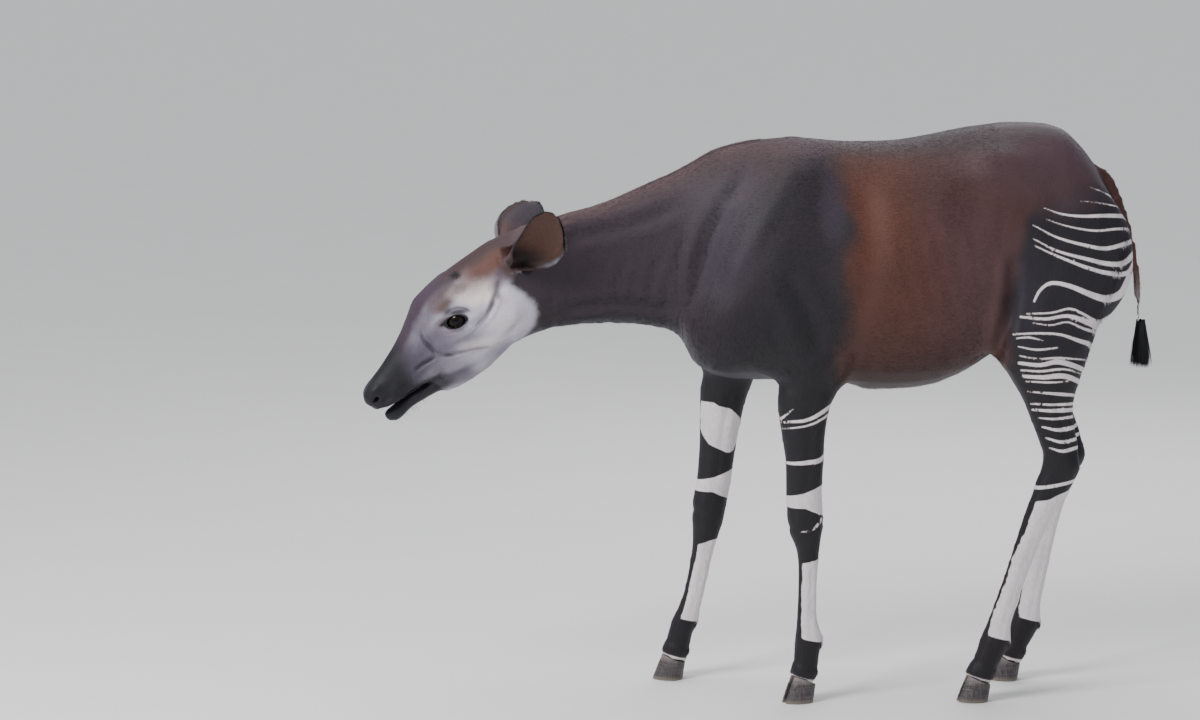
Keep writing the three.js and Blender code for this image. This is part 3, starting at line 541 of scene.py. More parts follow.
@dataclass(frozen=True)
class CoatFinish:
    """Short hair: colour and markings from the mesh, streaks along the lie, soft sheen."""

    name: str
    roughness: float = 0.58
    sheen: float = 0.08
    relief: float = 0.6

    def material(self) -> Material:
        """Builds the hair's material.

        Returns:
            A material that reads coat, marking, shade and the lie of the hair from the mesh.
        """
        n = Nodes(self.name)
        coat = n.attribute("coat").outputs["Color"]
        marking = n.attribute("marking").outputs["Fac"]
        shade = n.attribute("shade").outputs["Fac"]
        upright = n.attribute("upright").outputs["Fac"]
        ragged = n.noise((520, 520, 240), 2.0)
        lying = n.noise((90, 900, 900), 2.0)
        hanging = n.noise((900, 900, 90), 2.0)
        flat = n.math("SUBTRACT", 1.0, upright)
        streaks = n.plus(n.times(lying, flat), n.times(hanging, upright))
        locks = n.times(n.noise((46, 210, 210), 2.0), flat)
        locks = n.plus(locks, n.times(n.noise((210, 210, 46), 2.0), upright))
        clouds = n.noise((14, 14, 14), 3.0)
        edge = n.plus(marking, n.times(n.math("SUBTRACT", ragged, 0.5), 2.2 * MM))
        pale = n.step(-STRIPE_EDGE_SPREAD, STRIPE_EDGE_SPREAD, edge)
        fringe = n.times(n.step(-3 * MM, -0.3 * MM, edge), 0.4)
        tinted = n.blend(fringe, coat, COLOURS.stripe_edge)
        marked = n.blend(pale, tinted, COLOURS.white)
        tone = n.plus(n.times(streaks, 0.50), n.times(clouds, 0.30))
        tone = n.plus(tone, n.times(locks, 0.36))
        tone = n.plus(n.plus(tone, 0.40), n.times(shade, 0.12))
        grey = n.tree.nodes.new("ShaderNodeCombineColor")
        for slot in range(3):
            n.link(tone, grey.inputs[slot])
        n.link(n.blend(1.0, marked, grey.outputs[0], "MULTIPLY"), n.shader.inputs["Base Color"])
        n.set(Roughness=self.roughness, Sheen_Weight=self.sheen, Sheen_Roughness=0.42)
        n.set(Sheen_Tint=(0.72, 0.74, 1.0, 1.0), Specular_IOR_Level=0.34)
        height = n.plus(n.times(streaks, 0.5), n.times(locks, 1.1))
        n.bump(height, self.relief, 1.8 * MM)
        return n.material


@dataclass(frozen=True)
class WetFinish:
    """The dark wet eye with its iris and long pupil, drawn on the eye's own map."""

    name: str = "eye_wet"

    def material(self) -> Material:
        """Builds the eye's material from its map, which has its middle at the pupil."""
        n = Nodes(self.name)
        uv = n.tree.nodes.new("ShaderNodeUVMap")
        uv.uv_map = "gaze"
        parts = n.tree.nodes.new("ShaderNodeSeparateXYZ")
        n.link(uv.outputs[0], parts.inputs[0])
        u = n.math("SUBTRACT", parts.outputs[0], 0.5)
        v = n.math("SUBTRACT", parts.outputs[1], 0.5)
        radius = n.math("SQRT", n.plus(n.times(u, u), n.times(v, v)))
        tall = n.times(v, 2.1)
        slot = n.math("SQRT", n.plus(n.times(u, u), n.times(tall, tall)))
        angle = n.math("ARCTAN2", v, u)
        spokes = n.math("SINE", n.times(angle, 46.0))
        fibres = n.noise((420, 420, 420), 4.0)
        threads = n.plus(n.times(spokes, 0.12), fibres)
        iris = n.blend(n.step(0.3, 0.8, threads), paint(12, 8, 7), paint(28, 17, 12))
        ball = n.blend(n.step(0.36, 0.40, radius), iris, paint(14, 11, 11))
        ball = n.blend(n.step(0.43, 0.50, radius), ball, paint(84, 70, 66))
        dark = n.blend(n.step(0.17, 0.20, slot), paint(4, 4, 6), ball)
        n.link(dark, n.shader.inputs["Base Color"])
        n.set(Roughness=0.2, Specular_IOR_Level=0.08, Coat_Weight=0.2, Coat_Roughness=0.02)
        return n.material


@dataclass(frozen=True)
class TongueFinish:
    """The dark, moist and finely pimpled skin of the tongue."""

    name: str = "tongue_skin"

    def material(self) -> Material:
        """Builds the tongue's material."""
        n = Nodes(self.name)
        pimples = n.noise((700, 700, 700), 2.0)
        n.link(n.blend(pimples, COLOURS.tongue, COLOURS.muzzle), n.shader.inputs["Base Color"])
        n.bump(pimples, 0.4, 0.8 * MM)
        n.set(Roughness=0.34, Specular_IOR_Level=0.5)
        return n.material


@dataclass(frozen=True)
class HornFinish:
    """The horn of the hooves: growth rings, streaks down the wall and a pale worn edge."""

    name: str = "hoof_horn"

    def material(self) -> Material:
        """Builds the horn's material."""
        n = Nodes(self.name)
        streaks = n.noise((420, 420, 24), 3.0)
        rings = n.noise((18, 18, 420), 2.0)
        height = n.tree.nodes.new("ShaderNodeSeparateXYZ")
        place = n.tree.nodes.new("ShaderNodeTexCoord")
        n.link(place.outputs["Object"], height.inputs[0])
        low = n.step(14 * MM, 2 * MM, height.outputs[2])
        high = n.step(46 * MM, 66 * MM, height.outputs[2])
        wall = n.blend(n.step(0.35, 0.7, streaks), paint(44, 41, 46), paint(86, 80, 82))
        wall = n.blend(n.times(n.step(0.4, 0.65, rings), 0.35), wall, paint(110, 102, 98))
        wall = n.blend(n.times(low, 0.6), wall, paint(138, 126, 112))
        wall = n.blend(n.times(high, 0.5), wall, paint(150, 138, 132))
        n.link(wall, n.shader.inputs["Base Color"])
        relief = n.plus(n.times(streaks, 0.5), rings)
        n.bump(relief, 0.5, 1.2 * MM)
        n.set(Roughness=0.46, Specular_IOR_Level=0.4)
        return n.material


@dataclass(frozen=True)
class FloorFinish:
    """The plain pale floor with the faintest grain."""

    name: str = "pale_floor"

    def material(self) -> Material:
        """Builds the floor's material."""
        n = Nodes(self.name)
        grain = n.noise((3, 3, 3), 4.0)
        n.link(n.blend(grain, paint(232, 231, 229), paint(238, 237, 235)), n.shader.inputs["Base Color"])
        n.set(Roughness=0.85, Specular_IOR_Level=0.2)
        return n.material


# Markings, drawn by the pixels of the photograph at which they lie on the near side


@dataclass(frozen=True)
class PhotoScale:
    """How a point of the animal's side lies in the photograph, which looks a little down on it."""

    across: float = 2.695 * MM
    upright: float = 2.722 * MM
    column: float = 754.0
    floor_row: float = 694.0
    shift: float = -8 * MM
    lean: float = 0.14
    face_shift: float = 3.0

    def seen(self, points: Array, side: Side) -> Array:
        """Pixel columns and rows at which points show, with the right side mirrored."""
        out = side.value * (points[:, 1] - MIDDLE_Y)
        column = self.column + (points[:, 0] - self.shift) / self.across
        row = self.floor_row - (points[:, 2] - self.lean * out) / self.upright
        return np.stack([column, row], axis=1)

    def seen_body(self, points: Array) -> Array:
        """Pixel places of points on either side of the body."""
        left = (points[:, 1] < MIDDLE_Y)[:, None]
        return np.where(left, self.seen(points, Side.LEFT), self.seen(points, Side.RIGHT))

    def seen_face(self, head_points: Array) -> Array:
        """Pixel places of points of the head's own frame, both sides drawn alike."""
        left = from_head(fold(head_points) * (1, -1, 1))
        return self.seen(left, Side.LEFT) - (self.face_shift, 0)


PHOTO = PhotoScale()


@dataclass(frozen=True)
class Stripe:
    """One pale stripe: its line and its widths at the start, the middle and the end."""

    line: tuple[Point2, ...]
    start_width: float
    middle_width: float
    end_width: float

    def inside(self, places: Array) -> Array:
        """How far inside the stripe each place lies, in the line's units; negative outside."""
        gap, along = distance_to_path(places, smooth_path(self.line))
        first = self.start_width + (self.middle_width - self.start_width) * np.clip(along * 2, 0, 1)
        width = first + (self.end_width - self.middle_width) * np.clip(along * 2 - 1, 0, 1)
        return width / 2 - gap


@dataclass(frozen=True)
class Spot:
    """A soft spot of colour: its middle, reach and clockwise tilt in the photograph's pixels."""

    centre: Point2
    reach: Point2
    colour: Array
    strength: float = 1.0
    tilt: float = 0.0
    core: float = 0.45

    def lay(self, colours: Array, places: Array, noise: Array) -> Array:
        """Lays the spot over the colours of these places."""
        c, s = math.cos(math.radians(self.tilt)), math.sin(math.radians(self.tilt))
        dx, dy = (places - self.centre).T
        far = np.hypot((dx * c + dy * s) / self.reach[0], (dy * c - dx * s) / self.reach[1])
        share = 1 - ramp(self.core, 1.15, far + 0.10 * noise)
        return mix(colours, self.colour, self.strength * share)


@dataclass(frozen=True)
class Shadow:
    """A soft dark line in a fold of the face, in the photograph's pixels."""

    line: tuple[Point2, ...]
    width: float
    strength: float

    def lay(self, colours: Array, places: Array) -> Array:
        """Darkens the colours along the line."""
        gap, along = distance_to_path(places, smooth_path(self.line))
        fade = np.minimum(ramp(0, 0.2, along), ramp(1, 0.8, along))
        return mix(colours, COLOURS.groove, self.strength * fade * bell(gap, self.width))


BODY_SPOTS = (
    # The rear flank's plum is partly painted sheen
    Spot((966, 262), (86, 120), COLOURS.plum_and_sheen, 0.85, 0, 0.1),
    Spot((866, 226), (62, 104), COLOURS.chestnut, 1.0, 4, 0.1),
    Spot((906, 300), (60, 84), COLOURS.chestnut, 0.5, 20, 0.1),
    Spot((1046, 160), (104, 62), COLOURS.rump, 0.9, 0, 0.3),
    Spot((940, 138), (120, 24), COLOURS.back, 0.8),
    Spot((841, 372), (12, 32), COLOURS.elbow, 0.5, -14, 0.1),
)
# The upper arm's own dark, then painted sheen before and behind the shoulder and a painted highlight along
# the withers in the rump's colour
FRONT_SPOTS = (
    Spot((792, 350), (66, 76), COLOURS.upper_arm, 0.95),
    Spot((728, 240), (30, 90), COLOURS.sheen, 0.35, 12),
    Spot((812, 148), (60, 16), COLOURS.rump, 0.7, -4),
    Spot((826, 200), (16, 50), COLOURS.sheen, 0.35),
)
# Painted sheen on the front of the dark thigh, then the rump's own colour above it
HAUNCH_SPOTS = (
    Spot((1018, 300), (22, 70), COLOURS.sheen, 0.28, 4, 0.1),
    Spot((1050, 205), (60, 24), COLOURS.rump, 0.6, -10, 0.1),
)
# The border between shoulder and flank, and that round the dark thigh, as rows and columns
SHOULDER_ROWS, SHOULDER_COLUMNS = (138, 194, 237, 287, 337, 375, 410), (826, 838, 845, 836, 840, 832, 812)
THIGH_ROWS = (180, 219, 262, 312, 344, 370, 430, 470)
THIGH_COLUMNS = (1026, 1019, 1007, 1000, 997, 1004, 1022, 1030)
THIGH_TOP_COLUMNS, THIGH_TOP_ROWS = (1006, 1019, 1060, 1098, 1116, 1135), (232, 220, 196, 187, 197, 206)

FACE_SPOTS = (
    Spot((432, 346), (44, 36), COLOURS.face, 0.95, -40, 0.3),
    Spot((452, 372), (34, 16), COLOURS.face, 0.5, -20),
    Spot((480, 344), (28, 8), COLOURS.cream, 0.5, -10),
    Spot((440, 302), (24, 13), COLOURS.brow, 0.85, -42),
    Spot((424, 322), (22, 10), COLOURS.face, 0.7, -60),
    Spot((476, 293), (30, 17), COLOURS.cream, 1.0, 0, 0.3),
    Spot((482, 266), (46, 24), COLOURS.crown, 1.0, -30, 0.3),
    Spot((508, 256), (40, 30), COLOURS.crown, 1.0, 0, 0.4),
    Spot((508, 268), (14, 18), COLOURS.crown_dark, 0.9, 0, 0.3),
    Spot((520, 240), (38, 14), COLOURS.crown_dark, 0.8, -14, 0.3),
    Spot((505, 322), (26, 22), COLOURS.cream, 0.35, 0, 0.1),
    Spot((468, 338), (26, 8), COLOURS.face, 0.45, -12, 0.1),
    Spot((496, 352), (30, 9), COLOURS.face, 0.5, -30, 0.1),
    Spot((460, 290), (10, 6), COLOURS.brow, 0.5, -30),
    Spot((446, 323), (15, 7), COLOURS.brow, 0.8, -20, 0.2),
    Spot((443.5, 325), (6, 2.6), COLOURS.lid_and_shade, 0.95, -24),
    # Painted shadow of the upper lid and lashes: a dark crescent just above the eye
    Spot((458, 313.5), (13, 4.2), COLOURS.lid_and_shade, 0.85, -10, 0.3),
    Spot((444, 309), (15, 7), COLOURS.brow, 0.9, -38, 0.2),
    Spot((447, 313), (7, 4), COLOURS.lid_and_shade, 0.6, -40, 0.1),
    Spot((456, 331), (16, 4), COLOURS.brow, 0.35, -10),
    Spot((527, 272), (18, 6), COLOURS.cream, 0.7, -8),
    Spot((456, 278), (9, 4), COLOURS.lid_and_shade, 0.8, -34),
    Spot((404, 372), (26, 40), COLOURS.nose_side, 0.8, 42),
    # Painted shade behind the mouth's corner
    Spot((455, 378), (28, 7), COLOURS.groove, 0.6, -16),
    Spot((441, 384), (17, 10), COLOURS.muzzle, 0.8, -30, 0.2),
)
FACE_SHADOWS = (
    Shadow(((494, 296), (491, 306), (483, 315), (474, 322), (465, 328)), 3.4, 0.5),
    Shadow(((496, 346), (474, 349), (455, 353), (438, 353), (430, 346), (418, 333)), 1.8, 0.62),
    Shadow(((436, 360), (424, 366), (414, 375)), 3.0, 0.40),
    Shadow(((500, 268), (498, 280), (496, 290), (497, 304)), 4.0, 0.8),
    Shadow(((444, 317), (450, 311.5), (457, 309), (465, 309.5), (472, 314)), 1.5, 0.85),
    Shadow(((478, 362), (460, 372), (442, 384)), 3.0, 0.35),
    Shadow(((430, 381), (442, 378), (456, 372), (472, 366)), 2.6, 0.7),
)

# The near thigh, from the rump down to above the hock, in pixels
THIGH_STRIPES = (
    Stripe(((1078, 191), (1094, 196), (1111, 204)), 0.6, 1.3, 1.8),
    Stripe(((1068, 205), (1090, 207), (1119, 211)), 0.5, 1.2, 1.6),
    Stripe(((1031, 212), (1050, 218), (1070, 220), (1096, 219), (1123, 219)), 0.8, 3.0, 4.4),
    Stripe(((1034, 223), (1056, 230), (1082, 234), (1104, 232), (1126, 231)), 0.8, 2.0, 2.6),
    Stripe(((1021, 229), (1046, 241), (1072, 248), (1096, 251), (1127, 242)), 1.0, 3.0, 4.6),
    Stripe(((1021, 242), (1046, 254), (1072, 261), (1096, 266), (1113, 265), (1127, 254)), 1.0, 3.4, 6.0),
    Stripe(((1023, 249), (1046, 259), (1072, 269), (1096, 275), (1117, 275), (1126, 264)), 1.2, 3.4, 5.0),
    Stripe(
        ((1023, 303), (1029, 292), (1040, 285), (1058, 288))
        + ((1079, 296), (1096, 300), (1112, 295), (1121, 280)),
        2.2,
        5.0,
        9.5,
    ),
    Stripe(((1016, 315), (1040, 314), (1058, 310), (1072, 315), (1090, 322), (1112, 312)), 1.4, 2.2, 3.6),
    Stripe(((1010, 318), (1034, 320), (1056, 317), (1074, 322), (1094, 328), (1106, 326)), 2.2, 3.4, 9.5),
    Stripe(((1022, 324), (1040, 326), (1056, 323), (1072, 329), (1092, 334)), 1.0, 1.6, 3.4),
    Stripe(((1003, 335), (1024, 334), (1048, 335), (1068, 341), (1100, 350)), 1.6, 2.4, 6.4),
    Stripe(((1006, 339), (1018, 338), (1032, 341)), 1.4, 2.0, 0.8),
    Stripe(((1008, 347), (1026, 350), (1047, 348)), 1.2, 2.2, 1.4),
    Stripe(((1010, 356), (1028, 359), (1050, 358), (1090, 361)), 1.2, 2.0, 1.0),
    Stripe(((1010, 363), (1030, 365), (1050, 362), (1080, 371), (1100, 378)), 3.0, 5.0, 4.0),
    Stripe(((1012, 370), (1032, 371), (1054, 369), (1074, 374)), 1.6, 2.4, 0.8),
    Stripe(((1015, 376), (1034, 377), (1056, 376), (1082, 386)), 3.0, 5.0, 4.6),
    Stripe(((1018, 381), (1040, 382), (1060, 381)), 1.2, 2.0, 0.8),
    Stripe(((1020, 391), (1044, 393), (1086, 396)), 1.0, 3.2, 2.2),
    Stripe(((1024, 403), (1048, 404), (1084, 402)), 1.6, 2.6, 3.4),
    Stripe(((1026, 409), (1048, 410), (1082, 408)), 2.0, 4.0, 3.4),
    Stripe(((1032, 417), (1050, 418), (1078, 414)), 1.2, 2.6, 3.0),
    Stripe(((1036, 426), (1054, 429), (1082, 423)), 1.6, 4.2, 3.4),
    Stripe(((1040, 437), (1058, 441), (1082, 434)), 1.6, 3.6, 3.0),
    Stripe(((1044, 447), (1058, 450), (1080, 444)), 1.4, 3.6, 3.0),
)

# The forelegs, by the distance behind the leg's middle line and the height, in millimetres
OUTER_FORELEG_STRIPES = (
    Stripe(((-70, 764), (-52, 780), (-30, 801)), 7, 5, 2),
    Stripe(((-72, 758), (-40, 766), (14, 774), (74, 806)), 4, 9, 12),
    Stripe(((-60, 745), (-20, 752), (22, 761), (74, 786)), 3, 5, 7),
    Stripe(((-52, 652), (0, 656), (39, 661), (60, 675)), 7, 12, 14),
    Stripe(((-16, 468), (19, 477), (42, 500)), 3, 6, 9),
)
INNER_FORELEG_STRIPES = (
    Stripe(((-46, 744), (0, 726), (44, 690)), 60, 86, 70),
    Stripe(((-52, 716), (-20, 690), (30, 660)), 20, 50, 40),
    Stripe(((-60, 768), (-36, 762), (-6, 752)), 26, 40, 30),
)
# The white band above the knee: places across the leg, and its upper and lower edge there
KNEE_BAND_ACROSS, KNEE_BAND_TOP, KNEE_BAND_BOTTOM = (-49, 0, 50), (562, 573, 594), (532, 532, 508)


@dataclass(frozen=True)
class LegLine:
    """The middle line of a leg seen from the side: rising heights and places along X, in millimetres."""

    heights: tuple[float, ...]
    places: tuple[float, ...]
    side_y: float

    def behind(self, points: Array) -> Array:
        """How far behind the leg's middle line each point lies, in millimetres."""
        return points[:, 0] / MM - np.interp(points[:, 2] / MM, self.heights, self.places)


FORELEG = {
    Side.LEFT: LegLine(
        (62, 118, 168, 225, 387, 470, 567, 659, 796, 872),
        (120, 130, 138, 132, 135, 129, 122, 123, 118, 127),
        125,
    ),
    Side.RIGHT: LegLine(
        (62, 118, 168, 225, 370, 455, 567, 659, 796, 872),
        (-222, -204, -188, -168, -139, -125, -109, -100, -86, -70),
        125,
    ),
}
HINDLEG_HEIGHTS = (60, 112, 162, 215, 414, 565, 675, 800, 900)
HINDLEG = {
    Side.LEFT: LegLine(HINDLEG_HEIGHTS, (593, 618, 640, 652, 718, 778, 810, 775, 764), 118),
    Side.RIGHT: LegLine(HINDLEG_HEIGHTS, (705, 730, 752, 759, 798, 836, 850, 797, 774), 118),
}
# The forelegs lie in front of the first plane across the animal, and every leg behind the second
MID_TRUNK_X, CHEST_X = 0.42, -0.3
# Heights of joints, folds and bones of the legs, in millimetres
FETLOCK, PASTERN_FOLD, KNEE_FOOT, KNEE_GAP, KNEE_HEAD = 168, 104, 452, 476, 500
HOCK_BONES, HOCK_POINT = 596, 636
# How far the far hind leg stands behind the near one, by the height
HINDLEG_STEP = (60, 162, 308, 414, 500, 620, 735, 900, 1010), (112, 112, 98, 80, 68, 50, 30, 10, 0)

# Farther than this inside or outside a white marking the distance no longer counts
MARK_REACH = 50 * MM


class CoatPattern:
    """Colour, markings and lie of the coat at any point of the skin."""

    def __init__(self, points: Array, normals: Array, ear: Array, jaw: Array, tail: Array) -> None:
        """Keeps the points and what part each belongs to.

        Args:
            points: places on the skin.
            normals: outward directions there.
            ear: 1 where the point is on an ear, else 0.
            jaw: 1 on the lower jaw in front of the mouth's corner.
            tail: 1 on the tail.
        """
        self.p = points
        self.n = normals
        self.ear = ear
        self.jaw = jaw
        self.tail = tail
        self.h = to_head(points)
        self.along = -self.h[:, 0]
        self.x, self.y, self.z = points.T
        self.side_y = np.abs(self.y - MIDDLE_Y)
        self.noise = waves(points, 5.0, 3)
        self.fine_noise = waves(points, 22.0, 5)
        self.seen = PHOTO.seen_body(points)
        self.headness = self._headness()

    def _headness(self) -> Array:
        """1 on the head, 0 on the neck and body, soft between."""
        bulge = np.minimum(np.abs(self.z - 1.045), 0.09)
        edge = self.x + 0.593 + 8 * bulge**2 + 0.006 * self.fine_noise
        return np.maximum(1 - ramp(-0.014, 0.014, edge), self.ear)

    def body_colour(self) -> Array:
        """Colours of trunk, neck and limbs with painted sheen, highlights and shade, without the white
        markings.
        """
        c = COLOURS
        column, row = self.seen.T
        wobble = 5 * self.noise
        colour = c.flank
        for spot in BODY_SPOTS:
            colour = spot.lay(colour, self.seen, self.noise)
        colour = mix(colour, c.back, ramp(0.75, 0.95, self.n[:, 2]) * (self.z > 1.2) * 0.8)
        colour = mix(colour, c.belly, ramp(350, 395, row + wobble))
        edge = np.interp(row, SHOULDER_ROWS, SHOULDER_COLUMNS)
        neck = 1 - ramp(690, 760, column + 0.25 * (row - 200) + 2 * wobble)
        front = mix(c.shoulder, c.neck, neck)
        for spot in FRONT_SPOTS:
            front = spot.lay(front, self.seen, self.noise)
        # Painted highlight: the neck is lighter where its skin faces up
        nape_highlight = ramp(0.30, 0.95, self.n[:, 2]) * ramp(0.2, -0.1, self.x)
        front = mix(front, c.nape_highlight, nape_highlight * 0.85)
        # Painted shade: the neck and chest are darker where their skin faces down
        front = mix(front, c.throat_shade, ramp(0.0, 0.8, -self.n[:, 2]) * 0.9)
        ragged = column - edge + 1.3 * wobble + 3 * self.fine_noise
        colour = mix(colour, front, 1 - ramp(-14, 12, ragged))
        haunch = c.thigh
        for spot in HAUNCH_SPOTS:
            haunch = spot.lay(haunch, self.seen, self.noise)
        left = np.interp(row, THIGH_ROWS, THIGH_COLUMNS)
        top = np.interp(column, THIGH_TOP_COLUMNS, THIGH_TOP_ROWS)
        inside = ramp(-8, 8, column - left + 0.5 * wobble)
        inside = inside * ramp(-9, 7, row - top + 0.5 * wobble)
        colour = mix(colour, haunch, inside)
        legs = 1 - ramp(0.84, 0.96, self.z + 0.02 * self.noise)
        legs = legs * ((self.x < 0.25) | (self.x > 0.655) | (self.z < 0.72))
        colour = mix(colour, c.leg, legs * 0.85)
        return BODY_SPOTS[-1].lay(colour, self.seen, self.noise)

    def head_colour(self) -> Array:
        """Colours of the head, drawn where they lie in the photograph, with painted shade in its folds,
        over the eyes and underneath.
        """
        c = COLOURS
        places = PHOTO.seen_face(self.h)
        a, up = self.along, self.h[:, 2]
        colour = c.cheek
        for spot in FACE_SPOTS:
            colour = spot.lay(colour, places, self.noise)
        below_top = np.interp(a, HEAD_TOP_LINE[0], HEAD_TOP_LINE[1]) - up + 3 * self.fine_noise
        band = 1 - ramp(14, np.interp(a, (150, 260, 340, 480), (34, 46, 40, 46)), below_top)
        colour = mix(colour, mix(c.forehead, c.crown_dark, ramp(250, 150, a)), band)
        for shadow in FACE_SHADOWS:
            colour = shadow.lay(colour, places)
        dark = ramp(388, 482, a + 0.22 * (up + 40) + 4 * self.fine_noise)
        colour = mix(colour, c.muzzle, dark)
        mouth = np.interp(a, (360, 400, 435, 470, 547, 640), (-100, -94, -79, -66, -52, -20))
        lip = 1 - ramp(4, 16, np.abs(up - mouth))
        colour = mix(colour, c.muzzle, lip * ramp(372, 400, a) * 0.9)
        # Painted shade: the underside of the head, where its skin faces down, is darkened with the face's
        # grey
        under = ramp(0.45, 0.95, -(self.n @ HEAD_TURN)[:, 2]) * (a < 400)
        colour = mix(colour, c.face, under * 0.5)
        for side in Side:
            along, across, out = EYES[side].local(self.h)
            reach = np.hypot(along / OPENING_LENGTH, across / OPENING_HEIGHT) * 2
            rim = (1 - ramp(1.02, 1.22, reach)) * (out > 0)
            colour = mix(colour, c.lid_and_shade, rim * 0.95)
        return mix(colour, c.muzzle, self.jaw * ramp(395, 430, a))

    def ear_colour(self) -> Array:
        """Colours of the ears: dark backs, brown inside with painted shade deep in the cup, black rims."""
        c = COLOURS
        colour = c.ear_back
        for side in Side:
            cup = EARS[side]
            mine = self.h[:, 1] * side.value > 0
            along, across, inner, edge = cup.coordinates(self.h, self.n)
            back = mix(colour, c.ear_brown, ramp(0.9, 0.1, along + 0.3 * self.noise) * 0.7)
            # Painted shade: the lining darkens towards the deep base of the cup
            lining = mix(c.ear_inside, c.lid_and_shade, ramp(0.40, 0.05, along) * 0.85)
            look = mix(back, lining, inner)
            look = mix(look, c.ear_rim, edge * 0.9)
            pale = ramp(0.86, 1.0, across) * (1 - ramp(0.35, 0.6, along))
            look = mix(look, c.cheek, pale * 0.35)
            colour = np.where(mine[:, None], look, colour)
        return colour

    def colour(self) -> Array:
        """The whole coat's colour without the white markings."""
        look = mix(self.body_colour(), self.head_colour(), self.headness)
        look = mix(look, self.ear_colour(), self.ear)
        pale = np.interp(self.z, (1.0, 1.04, 1.08, 1.12, 1.17), (0, 0.5, 0.8, 0.3, 0))
        tail = mix(COLOURS.tail, COLOURS.cannon, pale * 0.6)
        tail = mix(tail, COLOURS.tuft, 1 - ramp(0.99, 1.06, self.z))
        return mix(look, tail, self.tail)

    def marking(self) -> Array:
        """How far inside a white marking each point lies, in metres; negative outside."""
        best = np.full(len(self.p), -MARK_REACH)
        for side in Side:
            mine = (self.y - MIDDLE_Y) * side.value > -0.02
            for part in (self._thigh, self._foreleg, self._hind_stocking):
                best = np.where(mine, np.maximum(best, part(side)), best)
        return np.clip(best, -MARK_REACH, MARK_REACH)

    def _thigh(self, side: Side) -> Array:
        """Stripes of the thigh and gaskin."""
        seen = PHOTO.seen(self.p, side)
        if side is Side.RIGHT:
            step = np.interp(self.z / MM, *HINDLEG_STEP)
            seen[:, 0] -= step * MM / PHOTO.across
            seen[:, 1] += 3.0 * np.sin(seen[:, 0] * 0.045) + 4.0
        near = (self.x > 0.60) & (self.z > 0.62) & (self.z < 1.42)
        value = np.full(len(self.p), -MARK_REACH)
        if near.any():
            best = np.max([stripe.inside(seen[near]) for stripe in THIGH_STRIPES], axis=0)
            value[near] = best * PHOTO.across
        inner = ramp(0.035, 0.075, self.side_y) + (self.z < 0.9)
        return value - 0.03 * (1 - np.clip(inner, 0, 1))

    def _foreleg(self, side: Side) -> Array:
        """Stripes, knee bands and stocking of a foreleg."""
        leg = FORELEG[side]
        behind = leg.behind(self.p)
        z = self.z / MM
        place = np.stack([behind, z], axis=1)
        outward = side.value * (self.y - MIDDLE_Y) / MM - leg.side_y
        near = (z < 840) & (self.x < MID_TRUNK_X) & (np.abs(behind) < 110)
        outer = np.max([stripe.inside(place) for stripe in OUTER_FORELEG_STRIPES], axis=0)
        inner = np.max([stripe.inside(place) for stripe in INNER_FORELEG_STRIPES], axis=0)
        turn = ramp(-14, 14, outward + 3 * self.fine_noise)
        value = np.maximum(outer - 30 * (1 - turn), inner - 60 * turn)
        top = np.interp(behind, KNEE_BAND_ACROSS, KNEE_BAND_TOP)
        bottom = np.interp(behind, KNEE_BAND_ACROSS, KNEE_BAND_BOTTOM)
        value = np.maximum(value, np.minimum(top - z, z - bottom))
        stocking = np.minimum(386 + 6 * self.noise + 0.25 * behind - z, z - 172 + 0.2 * behind)
        stocking = np.minimum(stocking, behind + 17 + 3 * self.fine_noise)
        coronet = np.minimum(80 - 0.42 * behind * 0.6 - z, z - 40) * 0.6 - 6
        value = np.maximum(value, np.maximum(stocking, coronet))
        return np.where(near, value * MM, -MARK_REACH)

    def _hind_stocking(self, side: Side) -> Array:
        """The pale lower part of a hind leg."""
        leg = HINDLEG[side]
        behind = leg.behind(self.p)
        z = self.z / MM
        near = (z < 720) & (self.x > 0.45)
        upper = 556 + 10 * self.noise + 0.35 * behind
        stocking = np.minimum(upper - z, z - 176 + 0.25 * behind)
        stocking = np.minimum(stocking, behind + 26 + 4 * self.fine_noise)
        ring = 5 - np.abs(z - 590 - 0.2 * behind)
        coronet = np.minimum(78 - 0.25 * behind - z, z - 40) * 0.6 - 6
        return np.where(near, np.maximum.reduce([stocking, ring, coronet]) * MM, -MARK_REACH)

    def lie(self) -> Array:
        """The direction in which the hair lies, from root to tip, along the skin."""
        flow = mix(np.array((1.0, 0.0, -0.38)), (0.9, 0.0, -0.42), 1 - ramp(-0.25, 0.05, self.x))
        chest = (1 - ramp(0.12, 0.30, self.x)) * (1 - ramp(0.95, 1.2, self.z))
        flow = mix(flow, (0.35, 0.0, -1.0), chest * ramp(-0.35, -0.15, self.x))
        haunch = ramp(0.62, 0.78, self.x) * (1 - ramp(1.25, 1.5, self.z))
        flow = mix(flow, (0.30, 0.0, -1.0), haunch)
        limbs = (1 - ramp(0.82, 0.95, self.z)) * (self.x > CHEST_X)
        flow = mix(flow, (0.08, 0.0, -1.0), limbs)
        drop = -0.35 * ramp(60, -90, self.h[:, 2])
        face = np.stack([np.ones(len(self.p)), 0.25 * np.sign(self.h[:, 1]), drop], 1)
        flow = mix(flow, np.zeros(3), self.headness) + self.headness[:, None] * (face @ HEAD_TURN.T)
        for side in Side:
            mine = self.ear * (self.h[:, 1] * side.value > 0)
            flow = mix(flow, HEAD_TURN @ EARS[side].axis, mine)
        flow = mix(flow, (0.25, 0.0, -1.0), self.tail)
        flow = flow + 0.16 * np.stack([self.fine_noise, waves(self.p, 20, 8), waves(self.p, 20, 9)], 1)
        flow = flow - dots(flow, self.n)[:, None] * self.n
        return unit(flow)


# Half width of an ear and sideways bow of its middle line, by the share of its length, in millimetres
EAR_WIDTHS = (0, 0.12, 0.3, 0.5, 0.7, 0.86, 0.95, 1), (24, 40, 62, 68, 59, 41, 24, 8)
EAR_BOWS = (0, 0.2, 0.45, 0.75, 1), (2, 24, 33, 17, 0)


